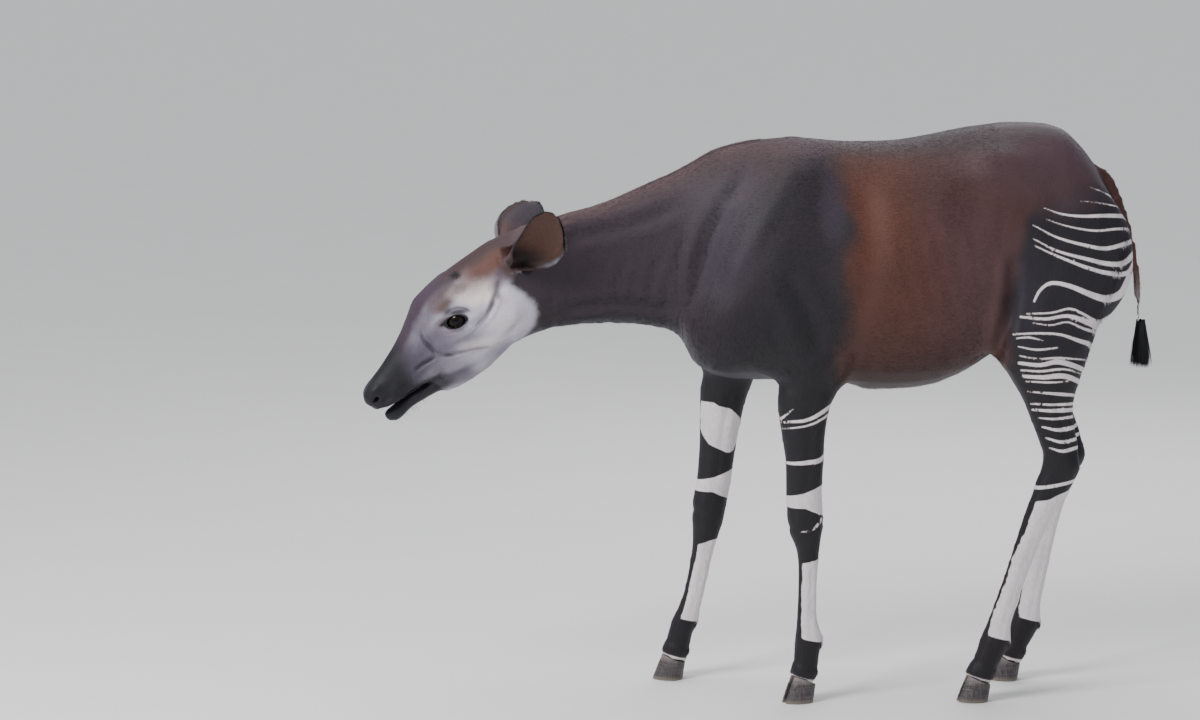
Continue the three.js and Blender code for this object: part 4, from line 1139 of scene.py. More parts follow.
@dataclass(frozen=True)
class EarCup:
    """Place and directions of one ear in the head's own frame, in millimetres."""

    base: Array
    axis: Array
    opening: Array
    across: Array
    bow_share: float
    length: float = 222.0
    seat: float = 30.0

    @classmethod
    def build(cls, side: Side, base: Point3, axis: Point3, bow_share: float) -> "EarCup":
        """Works out the cup's directions from where it points."""
        pointing = unit(np.array([axis]))[0]
        opening = np.array((0.1, side.value * 0.95, -0.12))
        opening = unit((opening - opening @ pointing * pointing)[None])[0]
        return cls(np.array(base), pointing, opening, np.cross(pointing, opening), bow_share)

    def coordinates(self, head_points: Array, normals: Array) -> tuple[Array, Array, Array, Array]:
        """Where points lie on the ear.

        Args:
            head_points: places in the head's own frame.
            normals: outward directions in the frame.

        Returns:
            Share of the length, share across from edge to edge, 1 on the inside, and 1 at the rim.
        """
        away = head_points - self.base - self.axis * self.seat
        along = away @ self.axis / self.length
        bow = np.interp(along, *EAR_BOWS) * self.bow_share
        half = np.interp(along, *EAR_WIDTHS)
        sideways = away @ self.across - bow
        across = np.clip(sideways / half, -1.3, 1.3)
        local = normals @ HEAD_TURN
        depth = away @ self.opening
        inward = local @ self.opening * 14
        inward = inward - local @ self.across * np.sign(sideways) * np.abs(sideways) * 0.22
        inner = ramp(-1.0, 3.0, inward) * ramp(-0.02, 0.06, along)
        rim = np.maximum(ramp(0.78, 0.95, np.abs(across)), ramp(0.90, 0.98, along))
        rim = rim * ramp(0.1, 0.3, along) * ramp(-60, 0, depth)
        return along, across, inner, rim


EARS = {
    Side.LEFT: EarCup.build(Side.LEFT, (-73, -62, -14), (0.84, -0.5, 0.18), 1.0),
    Side.RIGHT: EarCup.build(Side.RIGHT, (-62, 62, -2), (0.72, 0.68, 0.02), 0.1),
}


# Relief of the skin


@dataclass(frozen=True)
class Swell:
    """A soft rise or hollow: its place and radii, and its height, in millimetres."""

    centre: Point3
    radii: Point3
    height: float

    def rise(self, points: Array) -> Array:
        """Height that it adds at each point."""
        far = np.linalg.norm((points - self.centre) / self.radii, axis=1)
        return self.height * (1 - ramp(0.0, 1.0, far))


@dataclass(frozen=True)
class Crease:
    """A groove or ridge along a line, with a soft lip beside it, in millimetres."""

    line: tuple[Point3, ...]
    width: float
    height: float
    lip: float = 0.0

    def rise(self, points: Array) -> Array:
        """Height that it adds at each point; a groove has a negative height."""
        path = smooth_path(self.line)
        low, high = path.min(0) - 4 * self.width, path.max(0) + 4 * self.width
        near = np.all((points > low) & (points < high), axis=1)
        total = np.zeros(len(points))
        gap, along = distance_to_path(points[near], path)
        fade = np.minimum(ramp(0, 0.22, along), ramp(1, 0.78, along))
        main = self.height * bell(gap, self.width)
        lip = self.lip * bell(gap - 2 * self.width, self.width)
        total[near] = (main + lip) * fade
        return total


# Trunk and neck on the left side, from the middle plane outwards, in millimetres
TRUNK_RELIEF = (
    Crease(((262, 150, 1440), (285, 215, 1290), (280, 235, 1130), (238, 200, 960)), 34, -3.4, 0.6),
    Crease(((110, 120, 1450), (10, 165, 1290), (-90, 150, 1110)), 22, 4.5),
    Crease(((-10, 95, 1430), (-110, 120, 1280), (-160, 120, 1120), (-175, 90, 1030)), 24, -7, 2.5),
    Crease(((60, 190, 1180), (130, 200, 1040), (160, 180, 930)), 24, -5, 1.5),
    Crease(((-540, 55, 1050), (-420, 66, 1066), (-300, 74, 1060), (-215, 80, 1040)), 17, -5, 2),
    Crease(((-560, 50, 1230), (-440, 68, 1262), (-300, 84, 1300), (-190, 98, 1350)), 20, -3, 1),
    Crease(((-190, 105, 1270), (-214, 100, 1180), (-206, 92, 1070)), 12, -1.6, 0.6),
    Crease(((-262, 96, 1210), (-284, 90, 1140), (-300, 84, 1050)), 13, -1.2, 0.5),
    Crease(((-350, 88, 1200), (-380, 82, 1120), (-378, 76, 1060)), 12, -1.0, 0.4),
    Crease(((668, 225, 1240), (662, 215, 1130), (648, 190, 1020), (620, 160, 930)), 17, -10, 4),
    Crease(((636, 235, 1210), (628, 225, 1110), (606, 205, 1010)), 16, 4),
    Crease(((905, 120, 1400), (905, 150, 1250), (870, 165, 1090), (818, 160, 940)), 18, -5, 2),
    Crease(((790, 190, 1400), (770, 210, 1250), (740, 205, 1090)), 26, -3.5, 1.2),
    Swell((610, 175, 1470), (90, 80, 60), 4),
    Swell((952, 70, 1400), (52, 50, 50), 8),
    Swell((690, 185, 985), (64, 70, 60), 9),
    Swell((-160, 100, 1010), (70, 60, 70), 8),
    Swell((206, 165, 905), (40, 50, 52), 9),
    Swell((560, 215, 1330), (110, 90, 110), -8),
    Swell((40, 185, 1150), (110, 80, 130), 6),
    Swell((100, 205, 1000), (80, 70, 80), 7),
)
FIRST_RIB, RIB_STEP, RIB_COUNT = 330, 47, 7
# Places along X and how far the neck's middle is bent to the side there
NECK_BEND = (-708, -608, -458, -308, -168, 978), (-84, -76, -44, -16, 0, 0)
SPINE_LINE = (
    (-120, 0, 1490),
    (97, 0, 1513),
    (367, 0, 1503),
    (558, 0, 1538),
    (700, 0, 1553),
    (840, 0, 1520),
)

# Head on one side, in the head's own frame, in millimetres
HEAD_RELIEF = (
    Crease(((-352, 56, 34), (-357, 60, 0), (-358, 58, -46)), 4.6, -5.5, 2.6),
    Crease(((-358, 56, -46), (-313, 66, -96), (-266, 66, -124), (-234, 60, -148)), 5.0, -6.0, 3.0),
    Crease(((-437, 42, -36), (-405, 48, -36), (-365, 56, -47)), 5.5, -5.0, 2.4),
    Crease(((-120, 78, -36), (-141, 78, -43), (-189, 88, -62), (-238, 84, -62)), 6.0, -6.0, 2.6),
    Crease(((-300, 80, -70), (-262, 86, -84), (-220, 88, -92)), 6.0, -2.6, 1.2),
    Crease(((-250, 74, -130), (-200, 78, -140), (-140, 74, -140)), 9.0, -3.0, 1.5),
    Crease(((-205, 62, 62), (-240, 66, 46), (-285, 60, 34)), 10.0, 4.5),
    Crease(((-300, 56, 40), (-350, 46, 24), (-420, 34, 2)), 12.0, -4.5, 1.5),
    Crease(((-326, 70, -30), (-270, 84, -58), (-205, 90, -62), (-150, 86, -58)), 9.0, 3.5),
    Crease(((-222, 84, 14), (-256, 80, 26), (-296, 72, 14)), 8.0, 3.5),
    Crease(((-120, 84, -96), (-180, 88, -128), (-250, 78, -150)), 16.0, 3.0),
    Crease(((-500, 44, -32), (-470, 46, -48), (-440, 44, -66)), 6.0, -2.6, 1.2),
    Crease(((-560, 40, -30), (-520, 44, -40), (-480, 46, -50)), 7.0, -2.0, 1.2),
    Swell((-120, 76, -32), (34, 40, 32), -10),
    Swell((-170, 84, -100), (80, 50, 60), 7),
    Swell((-318, 62, -36), (60, 40, 30), 5),
    Swell((-400, 50, -70), (40, 40, 22), 3.5),
    Swell((-545, 44, 6), (30, 22, 16), 3.0),
    Swell((-520, 44, -44), (40, 24, 18), 3.0),
)
# The knobs of the forehead and the ridge of the nose
HEAD_MIDDLE_RELIEF = (
    Swell((-178, 50, 64), (24, 20, 20), 5),
    Swell((-178, -50, 64), (24, 20, 20), 5),
    Crease(((-250, 0, 100), (-340, 0, 84), (-430, 0, 50), (-500, 0, 34)), 13, 2.0),
)

# The left eye, mirrored for the right: its middle, the way it looks and its lids' opening
EYE_PLACE = (-256, 65, -16)
EYE_AXIS = (-0.26, 0.94, 0.18)
EYE_RADIUS, OPENING_LENGTH, OPENING_HEIGHT, OPENING_TILT = 28, 61, 34, 27


@dataclass(frozen=True)
class EyeFrame:
    """Centre and directions of one eye, in the head's own frame and in millimetres."""

    centre: Array
    out: Array
    long: Array
    high: Array

    @classmethod
    def build(cls, side: Side) -> "EyeFrame":
        """Works out the eye's directions as the solids have them."""
        mirror = np.array((1, side.value, 1))
        centre = mirror * EYE_PLACE
        out = unit((mirror * EYE_AXIS)[None])[0]
        tilt = math.radians(OPENING_TILT)
        long = np.array((-math.cos(tilt), 0.0, math.sin(tilt)))
        long = unit((long - long @ out * out)[None])[0]
        high = np.cross(out, long) * -side.value
        return cls(centre, out, long, high)

    def local(self, head_points: Array) -> tuple[Array, Array, Array]:
        """Places along the lids, across them and outwards from the ball's centre."""
        away = head_points - self.centre
        return away @ self.long, away @ self.high, away @ self.out


EYES = {side: EyeFrame.build(side) for side in Side}


@dataclass
class Skin:
    """The one skin over all the flesh, made from merged copies of the solids."""

    flesh: tuple[str, ...] = (
        "torso",
        "neck",
        "head",
        "lower_jaw",
        "ear_left",
        "ear_right",
        "foreleg_left",
        "foreleg_right",
        "hindleg_left",
        "hindleg_right",
        "tail",
    )
    face: tuple[str, ...] = ("head", "lower_jaw", "ear_left", "ear_right", "neck")
    overlap: float = 0.4 * MM
    body_grain: float = 12.5 * MM
    face_grain: float = 3.7 * MM
    most_triangles: int = 198000
    strength: float = 1.45
    join_x: float = -495 * MM
    join_gap: float = 7 * MM
    folded_below: float = 0.45
    piece: Piece | None = None
    ear_share: Array | None = None
    jaw_share: Array | None = None
    tail_share: Array | None = None

    def shell(self, nodes: Sequence[str], grain: float, name: str) -> Piece:
        """Fuses copies of solids into one closed surface.

        Args:
            nodes: the solids' names.
            grain: size of the new faces.
            name: the shell's name.

        Returns:
            The shell.
        """
        copies = [copy_of(node) for node in nodes]
        for piece in copies:
            if piece.name.startswith("ear"):
                apply_modifier(piece, "SUBSURF", levels=2, render_levels=2)
            apply_modifier(piece, "DISPLACE", strength=self.overlap, mid_level=0.0)
        shell = join(copies, name)
        apply_modifier(shell, "REMESH", mode="VOXEL", voxel_size=grain, use_smooth_shade=True)
        return shell

    def build(self) -> None:
        """Makes the skin's mesh in all its detail."""
        body_nodes = [node for node in self.flesh if node not in ("ear_left", "ear_right", "lower_jaw")]
        body = self.shell(body_nodes, self.body_grain, "skin")
        keep_half(body, (self.join_x + self.join_gap / 2, 0, 0), (-1, 0, 0))
        head = self.shell(self.face, self.face_grain, "face_shell")
        keep_half(head, (self.join_x - self.join_gap / 2, 0, 0), (1, 0, 0))
        skin = join([body, head], "skin")
        self.bridge(skin)
        self.refine(skin, self.striped)
        self.refine(skin, self.near_stripes)
        self.refine(skin, self.delicate)
        self.label(skin)
        self.soften(skin)
        self.sculpt(skin)
        self.lighten(skin)
        self.mend(skin)
        self.label(skin)
        self.piece = skin

    def bridge(self, skin: Piece) -> None:
        """Closes the gap in the neck between the body's and the head's surfaces."""
        with editing(skin):
            bpy.ops.mesh.select_mode(type="EDGE")
            bpy.ops.mesh.select_all(action="DESELECT")
            bpy.ops.mesh.select_non_manifold(
                extend=False,
                use_wire=False,
                use_boundary=True,
                use_multi_face=False,
                use_non_contiguous=False,
                use_verts=False,
            )
            bpy.ops.mesh.bridge_edge_loops()
            bpy.ops.mesh.select_all(action="SELECT")
            bpy.ops.mesh.normals_make_consistent(inside=False)

    def striped(self, points: Array) -> Array:
        """True on the limbs, the striped haunch and the tail."""
        haunch = (points[:, 0] > 0.60) & (points[:, 2] < 1.44) & (np.abs(points[:, 1] - MIDDLE_Y) > 0.05)
        tail = (points[:, 0] > 0.90) & (np.abs(points[:, 1] - MIDDLE_Y) < 0.03)
        limbs = (points[:, 2] < 0.90) & ((points[:, 2] < 0.82) | (points[:, 0] > 0.6))
        return haunch | limbs | tail

    def near_stripes(self, points: Array) -> Array:
        """True close to the edges of the stripes, which need finer faces to show crisply."""
        none = np.zeros(len(points))
        marking = CoatPattern(points, np.zeros_like(points), none, none, none).marking()
        outer = np.abs(points[:, 1] - MIDDLE_Y) > 0.07
        return (np.abs(marking) < 4.5 * MM) & outer & (points[:, 2] > 0.54) & (points[:, 2] < 1.42)

    def delicate(self, points: Array) -> Array:
        """True round the eyes, nostrils, lips and folds, which need finer faces."""
        local = to_head(points)
        near = np.zeros(len(points), bool)
        for side in Side:
            along, across, out = EYES[side].local(local)
            near |= (np.hypot(along / 50, across / 40) < 1) & (out > 6)
        side_on = (np.abs(local[:, 1]) > 30) & (local[:, 0] < -100)
        for crease in HEAD_RELIEF[:4]:
            gap = distance_to_path(local[:, [0, 2]], np.array(crease.line)[:, [0, 2]])[0]
            near |= side_on & (gap < 11)
        muzzle = (local[:, 0] < -530) & (local[:, 2] > -60)
        return near | muzzle

    def refine(self, skin: Piece, chosen: Callable[[Array], Array]) -> None:
        """Halves the faces whose middles are chosen.

        Args:
            skin: the skin.
            chosen: takes the faces' middles and tells which are divided.
        """
        with editing(skin, chosen(read(skin.data.polygons, "center", 3))):
            bpy.ops.mesh.subdivide(number_cuts=1, quadcorner="INNERVERT")

    def soften(self, skin: Piece) -> None:
        """Smooths away the solids' flat faces, least on thin and small forms."""
        points = points_of(skin.data)
        local = to_head(points)
        trunk = ramp(0.86, 0.98, points[:, 2]) * ramp(-0.56, -0.48, points[:, 0])
        trunk = trunk * (1 - self.tail_share)
        join_zone = 1 - ramp(0.0, 0.05, np.abs(points[:, 0] - self.join_x))
        legs = (1 - ramp(0.86, 0.98, points[:, 2])) * (points[:, 0] > CHEST_X)
        head = (points[:, 0] < -0.5) * (1 - join_zone) * 0.55
        head = np.where(local[:, 0] < -500, 0.3, head)
        joint = bell(local[:, 0] + 424, 34) * ramp(-92, -108, local[:, 2])
        for name, weight, repeat in (
            ("trunk", np.maximum(trunk, join_zone), 14),
            ("legs", legs * 0.8, 5),
            ("head", head, 5),
            ("jaw_joint", joint, 60),
        ):
            group = skin.vertex_groups.new(name=name)
            steps = np.round(np.clip(weight, 0, 1) * 8).astype(int)
            for level in range(1, 9):
                rows = np.nonzero(steps == level)[0]
                if len(rows):
                    group.add(rows.tolist(), level / 8, "REPLACE")
            apply_modifier(skin, "SMOOTH", factor=0.5, iterations=repeat, vertex_group=name)
        skin.vertex_groups.clear()

    def relief(self, points: Array) -> Array:
        """Height in millimetres of muscles, folds and tendons at each point."""
        body = points / MM
        body[:, 1] = (points[:, 1] - MIDDLE_Y) / MM
        body[:, 1] -= np.interp(points[:, 0] / MM, *NECK_BEND)
        mirrored = fold(body)
        total = np.zeros(len(points))
        trunk = (points[:, 0] > -0.60) * (1 - self.ear_share)
        for form in TRUNK_RELIEF:
            total += self.strength * form.rise(mirrored) * trunk
        for x in range(FIRST_RIB, FIRST_RIB + RIB_COUNT * RIB_STEP, RIB_STEP):
            rib = Crease(((x, 240, 1330), (x + 30, 250, 1150), (x + 96, 235, 960)), 17, 1.1)
            total += rib.rise(mirrored)
        total += Crease(SPINE_LINE, 16, 2.5).rise(body)
        total += self.limb_relief(points)
        local = to_head(points)
        folded = fold(local)
        on_head = (local[:, 0] < -20) * (1 - self.ear_share)
        for form in HEAD_RELIEF:
            total += self.strength * form.rise(folded) * on_head
        for form in HEAD_MIDDLE_RELIEF:
            total += form.rise(local) * on_head
        return total

    def limb_relief(self, points: Array) -> Array:
        """Height in millimetres of tendons and joints on the four legs."""
        total = np.zeros(len(points))
        z = points[:, 2] / MM
        for side in Side:
            mine = side.value * (points[:, 1] - MIDDLE_Y) > 0
            for leg, fore in ((FORELEG[side], True), (HINDLEG[side], False)):
                behind = leg.behind(points)
                near = mine & (np.abs(behind) < 110) & ((points[:, 0] < MID_TRUNK_X) == fore)
                top = 390 if fore else 520
                cannon = ramp(160, 215, z) * (1 - ramp(top, 440 if fore else 560, z))
                tendons = -3.2 * bell(behind - 9, 5) * cannon + 1.6 * bell(behind - 19, 6) * cannon
                total += np.where(near, tendons, 0)
                fetlock = bell(z - FETLOCK, 22) * (2.2 * ramp(0, 25, behind) + 1.0)
                total += np.where(near, fetlock - 2.2 * bell(z - PASTERN_FOLD + 0.3 * behind, 7), 0)
                if fore:
                    knee = 3.0 * bell(z - KNEE_HEAD, 24) + 2.4 * bell(z - KNEE_FOOT, 20)
                    knee -= 1.8 * bell(z - KNEE_GAP, 7)
                    total += np.where(near, knee * ramp(10, -30, behind), 0)
                    strap = -4.0 * bell(behind - 8 - 0.05 * (z - 640), 11)
                    strap = strap * ramp(540, 600, z) * (1 - ramp(760, 830, z))
                    total += np.where(near, strap, 0)
                else:
                    hollow = -8.0 * bell(behind - 22 + 0.06 * (z - 740), 13)
                    hollow = hollow * ramp(648, 690, z) * (1 - ramp(790, 860, z))
                    total += np.where(near, hollow, 0)
                    point = 5.0 * bell(z - HOCK_POINT, 22) * ramp(8, 34, behind)
                    bones = 2.4 * bell(z - HOCK_BONES, 16) * ramp(6, -26, behind)
                    total += np.where(near, point + bones, 0)
        return total

    def label(self, skin: Piece) -> None:
        """Finds which points of the skin lie on the ears, the lower jaw and the tail."""
        points = points_of(skin.data)
        self.ear_share = self.nearness(points, ("ear_left", "ear_right"), 6 * MM)
        self.jaw_share = self.nearness(points, ("lower_jaw",), 6 * MM)
        self.tail_share = self.nearness(points, ("tail",), 10 * MM)

    def nearness(self, points: Array, nodes: Sequence[str], reach: float) -> Array:
        """1 at points that lie on these solids, falling to 0 within the reach."""
        share = np.zeros(len(points))
        for node in nodes:
            mesh = frame["nodes"][node].data
            tree = BVHTree.FromPolygons([v.co for v in mesh.vertices], [p.vertices for p in mesh.polygons])
            low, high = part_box(node)
            inside = np.all((points > np.array(low) - reach) & (points < np.array(high) + reach), axis=1)
            for row in np.nonzero(inside)[0]:
                gap = tree.find_nearest(points[row])[3]
                share[row] = max(share[row], min(1.0, 2.2 * (1 - gap / reach)))
        return np.clip(share, 0, 1)

    def sculpt(self, skin: Piece) -> None:
        """Lays the relief on the skin, shapes the lids and sets it in by the coat's depth."""
        mesh = skin.data
        points, normals = points_of(mesh), normals_of(mesh)
        depth = self.coat_depth(points)
        points = points + normals * ((self.relief(points) - depth) * MM)[:, None]
        set_points(mesh, points)
        points = self.lids(points_of(mesh))
        set_points(mesh, points)
        select_only(skin)
        bpy.ops.object.shade_smooth()

    def lighten(self, skin: Piece) -> None:
        """Joins the shortest edges until the piece is light enough, least where detail is fine.

        The nearer a vertex's weight is to 1, the longer its edges may become.
        """
        points = points_of(skin.data)
        weight = np.where(self.striped(points), 0.74, 0.87)
        weight = np.where(self.near_stripes(points), 0.45, weight)
        weight = np.where(points[:, 0] < self.join_x, 0.68, weight)
        weight = np.where((points[:, 0] < self.join_x) & self.delicate(points), 0.0, weight)
        group = skin.vertex_groups.new(name="plain")
        for level in np.unique(weight[weight > 0]):
            group.add(np.nonzero(weight == level)[0].tolist(), float(level), "REPLACE")
        count = sum(len(face.vertices) - 2 for face in skin.data.polygons)
        share = min(1.0, self.most_triangles / count)
        apply_modifier(skin, "DECIMATE", ratio=share, vertex_group="plain", use_collapse_triangulate=True)
        skin.vertex_groups.clear()
        LOG.info("skin: %d triangles thinned to %d", count, len(skin.data.polygons))

    def mend(self, skin: Piece) -> None:
        """Evens out the few faces that the thinning has folded over."""
        mesh = skin.data
        for _ in range(4):
            corners = read(mesh.polygons, "vertices", 3, np.int32)
            around = unit(normals_of(mesh)[corners].mean(1))
            folded = dots(read(mesh.polygons, "normal", 3), around) < self.folded_below
            with editing(skin, folded):
                bpy.ops.mesh.select_more()
                bpy.ops.mesh.vertices_smooth(factor=0.5, repeat=4)
            LOG.info("skin: %d folded faces evened out", folded.sum())

    def coat_depth(self, points: Array) -> Array:
        """How far in millimetres the skin lies inside the solids."""
        local = to_head(points)
        head = 1 - ramp(-0.62, -0.54, points[:, 0])
        legs = (1 - ramp(0.5, 0.9, points[:, 2])) * (points[:, 0] > CHEST_X)
        depth = 2.0 - 1.2 * np.maximum(head, legs)
        return np.where(local[:, 0] < -400, 0.3, depth)

    def lids(self, points: Array) -> Array:
        """Draws the skin round each eye into lids that lie on the ball."""
        local = to_head(points)
        for side in Side:
            eye = EYES[side]
            along, across, out = eye.local(local)
            reach = np.hypot(along / (OPENING_LENGTH / 2), across / (OPENING_HEIGHT / 2))
            near = (out > 4) & (reach < 2.2) & (local[:, 1] * side.value > 0)
            edge = np.where(across > 0, 0.90, 0.98)
            pulled = np.where(reach < edge, edge - 0.15 * (edge - reach), reach)
            outside = np.linalg.norm(local - eye.centre, axis=1) > EYE_RADIUS - 3
            shift = np.where(near & outside, pulled / np.maximum(reach, 1e-3) - 1, 0)
            local = local + (along * shift)[:, None] * eye.long + (across * shift)[:, None] * eye.high
            away = local - eye.centre
            far = np.linalg.norm(away, axis=1)
            goal = EYE_RADIUS + (3.4 - 1.6 * ramp(1.0, 1.5, reach))
            share = 1 - ramp(1.15, 2.0, reach)
            share = share * ramp(EYE_RADIUS + 0.2, EYE_RADIUS + 1.6, far)
            upper = across > 0
            fold = np.where(upper, -3.2, -2.0) * bell(reach - 1.5, 0.13)
            fold += np.where(upper, 3.2, 1.4) * bell(reach - np.where(upper, 1.85, 1.75), 0.22)
            moved = far + (goal - far) * share * 0.85 + fold
            scale = np.where(near, moved / np.maximum(far, 1e-6), 1.0)
            local = eye.centre + away * scale[:, None]
        return from_head(local)


# Hair


@dataclass
class Roots:
    """Where tufts grow: places, outward directions, lie, colours and marks, one row each."""

    points: Array
    normals: Array
    lie: Array
    colour: Array
    marking: Array
    upright: Array
    map_place: Array


class HairBed:
    """The finished skin as the bed that hair is set in."""

    def __init__(self, skin: Skin) -> None:
        """Reads the skin's triangles, marks and map.

        Args:
            skin: the finished skin, dressed with its colours.
        """
        mesh = skin.piece.data
        mesh.calc_loop_triangles()
        self.corners = read(mesh.loop_triangles, "vertices", 3, np.int32)
        loops = read(mesh.loop_triangles, "loops", 3, np.int32)
        self.uv = read(mesh.uv_layers["OFBake"].data, "uv", 2)[loops]
        self.points = points_of(mesh)
        self.normals = normals_of(mesh)
        self.ear, self.jaw, self.tail = skin.ear_share, skin.jaw_share, skin.tail_share
        a, b, c = (self.points[self.corners[:, i]] for i in range(3))
        self.areas = np.linalg.norm(np.cross(b - a, c - a), axis=1) / 2
        self.middles = (a + b + c) / 3
        self.tree = BVHTree.FromPolygons(self.points.tolist(), self.corners.tolist())

    def nearest(self, places: Array, lie: Array, colour: Array | None) -> Roots:
        """Sets roots on the skin where it is nearest to some places.

        Args:
            places: wanted places, one row each.
            lie: the direction of the hair for each.
            colour: one colour for all, or none for the coat's own.

        Returns:
            The roots.
        """
        found = [self.tree.find_nearest(place) for place in places]
        points = np.array([hit[0] for hit in found])
        rows = [hit[2] for hit in found]
        tri = self.corners[rows]
        normals, lie = unit(self.normals[tri].mean(1)), unit(lie)
        if colour is None:
            parts = [values[tri].mean(1) for values in (self.ear, self.jaw, self.tail)]
            pattern = CoatPattern(points, normals, *parts)
            own, marks = pattern.colour(), pattern.marking()
        else:
            own, marks = np.tile(colour, (len(points), 1)), np.full(len(points), -MARK_REACH)
        return Roots(points, normals, lie, own, marks, np.abs(lie[:, 2]), self.uv[rows].mean(1))

    def scatter(self, count: int, weight: Array, length: float, seed: int) -> Roots:
        """Scatters roots over the skin.

        Args:
            count: how many.
            weight: how thickly each triangle is set.
            length: the tufts' length in millimetres; a tuft has the marking under its middle.
            seed: number that fixes the draw.

        Returns:
            The roots.
        """
        draw = np.random.default_rng(seed)
        chance = self.areas * weight
        rows = np.sort(draw.choice(len(chance), size=count, p=chance / chance.sum()))
        u, v = draw.random(count), draw.random(count)
        over = u + v > 1
        u, v = np.where(over, 1 - u, u), np.where(over, 1 - v, v)
        shares = np.stack([1 - u - v, u, v], 1)
        tri = self.corners[rows]

        def at(values: Array) -> Array:
            """The values at the roots, between the triangles' corners."""
            return np.einsum("ij,ij...->i...", shares, values[tri])

        points, normals = at(self.points), unit(at(self.normals))
        parts = at(self.ear), at(self.jaw), at(self.tail)
        pattern = CoatPattern(points, normals, *parts)
        lie = pattern.lie()
        middle = CoatPattern(points + lie * length * MM / 2, normals, *parts)
        return Roots(
            points,
            normals,
            lie,
            pattern.colour(),
            middle.marking(),
            np.abs(lie[:, 2]),
            np.einsum("ij,ijk->ik", shares, self.uv[rows]),
        )


@dataclass(frozen=True)
class HairCut:
    """How a kind of hair is cut: sizes in millimetres, lift in degrees."""

    length: float
    width: float
    lift: float
    thickness: float = 0.7
    droop: float = 0.0
    spread: float = 0.18
    segments: int = 1
    variety: float = 0.35
    free: bool = False


# Half the patch of the skin's map that a tuft takes, and how deep its root sits
MAP_PATCH = 0.0015
ROOT_DEPTH = 0.3 * MM


def tuft_points(roots: Roots, cut: HairCut, draw: np.random.Generator, scale: Array | float) -> Array:
    """Draws the size, lie and lift of each tuft and works out its points.

    Args:
        roots: where the tufts grow.
        cut: their sizes.
        draw: the source of the random numbers.
        scale: a share of the full length, one for all or one for each tuft.

    Returns:
        A block of points for each tuft: its rings of three from the root up, then its tip.
    """
    count = len(roots.points)
    length = cut.length * MM * (1 + cut.variety * draw.uniform(-1, 1, count)) * scale
    width = cut.width * MM * draw.uniform(0.75, 1.25, count)
    lie = unit(roots.lie + cut.spread * draw.normal(size=(count, 3)))
    if not cut.free:
        lie = unit(lie - dots(lie, roots.normals)[:, None] * roots.normals)
    lift = np.radians(cut.lift * draw.uniform(0.5, 1.5, count))
    across = unit(np.cross(roots.normals, lie))
    rings = []
    for level in range(cut.segments):
        share = level / cut.segments
        place = roots.points - ROOT_DEPTH * roots.normals
        place = place + lie * (length * share * np.cos(lift))[:, None]
        place = place + roots.normals * (length * share * np.sin(lift))[:, None]
        place = place - np.array((0, 0, 1)) * (cut.droop * MM * share**2)
        half = (width * (1 - 0.75 * share) / 2)[:, None]
        top = place + roots.normals * (cut.thickness * MM * (1 - 0.6 * share))
        rings.append(np.stack([place - across * half, place + across * half, top], 1))
    tip = roots.points + lie * (length * np.cos(lift))[:, None]
    tip = tip + roots.normals * (length * np.sin(lift) - 0.3 * ROOT_DEPTH)[:, None]
    tip = tip - np.array((0, 0, 1)) * cut.droop * MM
    return np.concatenate([*rings, tip[:, None]], axis=1)


def tuft_faces(segments: int) -> Array:
    """Lists the triangles of one tuft.

    Args:
        segments: how many rings of three points the tuft has below its tip.

    Returns:
        Three point numbers for each triangle.
    """
    faces = [(0, 2, 1)]
    for level in range(segments - 1):
        for i in range(3):
            a, b = 3 * level + i, 3 * level + (i + 1) % 3
            faces += [(a, b, a + 3), (b, b + 3, a + 3)]
    last = 3 * (segments - 1)
    faces += [(last + i, last + (i + 1) % 3, last + 3) for i in range(3)]
    return np.array(faces)


def grow(
    name: str,
    roots: Roots,
    cut: HairCut,
    finish: Material,
    seed: int,
    scale: Array | float = 1.0,
) -> Piece:
    """Makes a piece of many thin tapered tufts.

    Args:
        name: the piece's name.
        roots: where the tufts grow.
        cut: their sizes.
        finish: their material.
        seed: number that fixes the draw.
        scale: a share of the full length, one for all or one for each tuft.

    Returns:
        The piece.
    """
    draw = np.random.default_rng(seed)
    points = tuft_points(roots, cut, draw, scale)
    count, per = points.shape[:2]
    index = (tuft_faces(cut.segments)[None] + (np.arange(count) * per)[:, None, None]).reshape(-1)
    mesh = bpy.data.meshes.new(name)
    mesh.vertices.add(count * per)
    mesh.loops.add(len(index))
    mesh.loops.foreach_set("vertex_index", index.astype(np.int32))
    mesh.polygons.add(len(index) // 3)
    mesh.polygons.foreach_set("loop_start", np.arange(0, len(index), 3, dtype=np.int32))
    mesh.polygons.foreach_set("use_smooth", np.ones(len(index) // 3, bool))
    mesh.vertices.foreach_set("co", points.astype(np.float32).ravel())
    mesh.update(calc_edges=True)
    shade = draw.uniform(-1, 1, count)
    set_colour(mesh, "coat", np.repeat(roots.colour, per, axis=0))
    for key, values in (("marking", roots.marking), ("upright", roots.upright), ("shade", shade)):
        set_value(mesh, key, np.repeat(values, per))
    offsets = np.stack([np.tile((-1, 1, 0), per)[:per], np.linspace(-1, 1, per)], 1) * MAP_PATCH
    corners = (roots.map_place[:, None] + offsets).reshape(-1, 2)
    uv = mesh.uv_layers.new(name="OFBake")
    uv.data.foreach_set("uv", corners[index].astype(np.float32).ravel())
    soft = unit(np.repeat(roots.normals, per, axis=0))
    mesh.normals_split_custom_set_from_vertices(soft.astype(np.float32).tolist())
    piece = bpy.data.objects.new(name, mesh)
    bpy.context.collection.objects.link(piece)
    mesh.materials.append(finish)
    finish_piece(piece)
    return piece


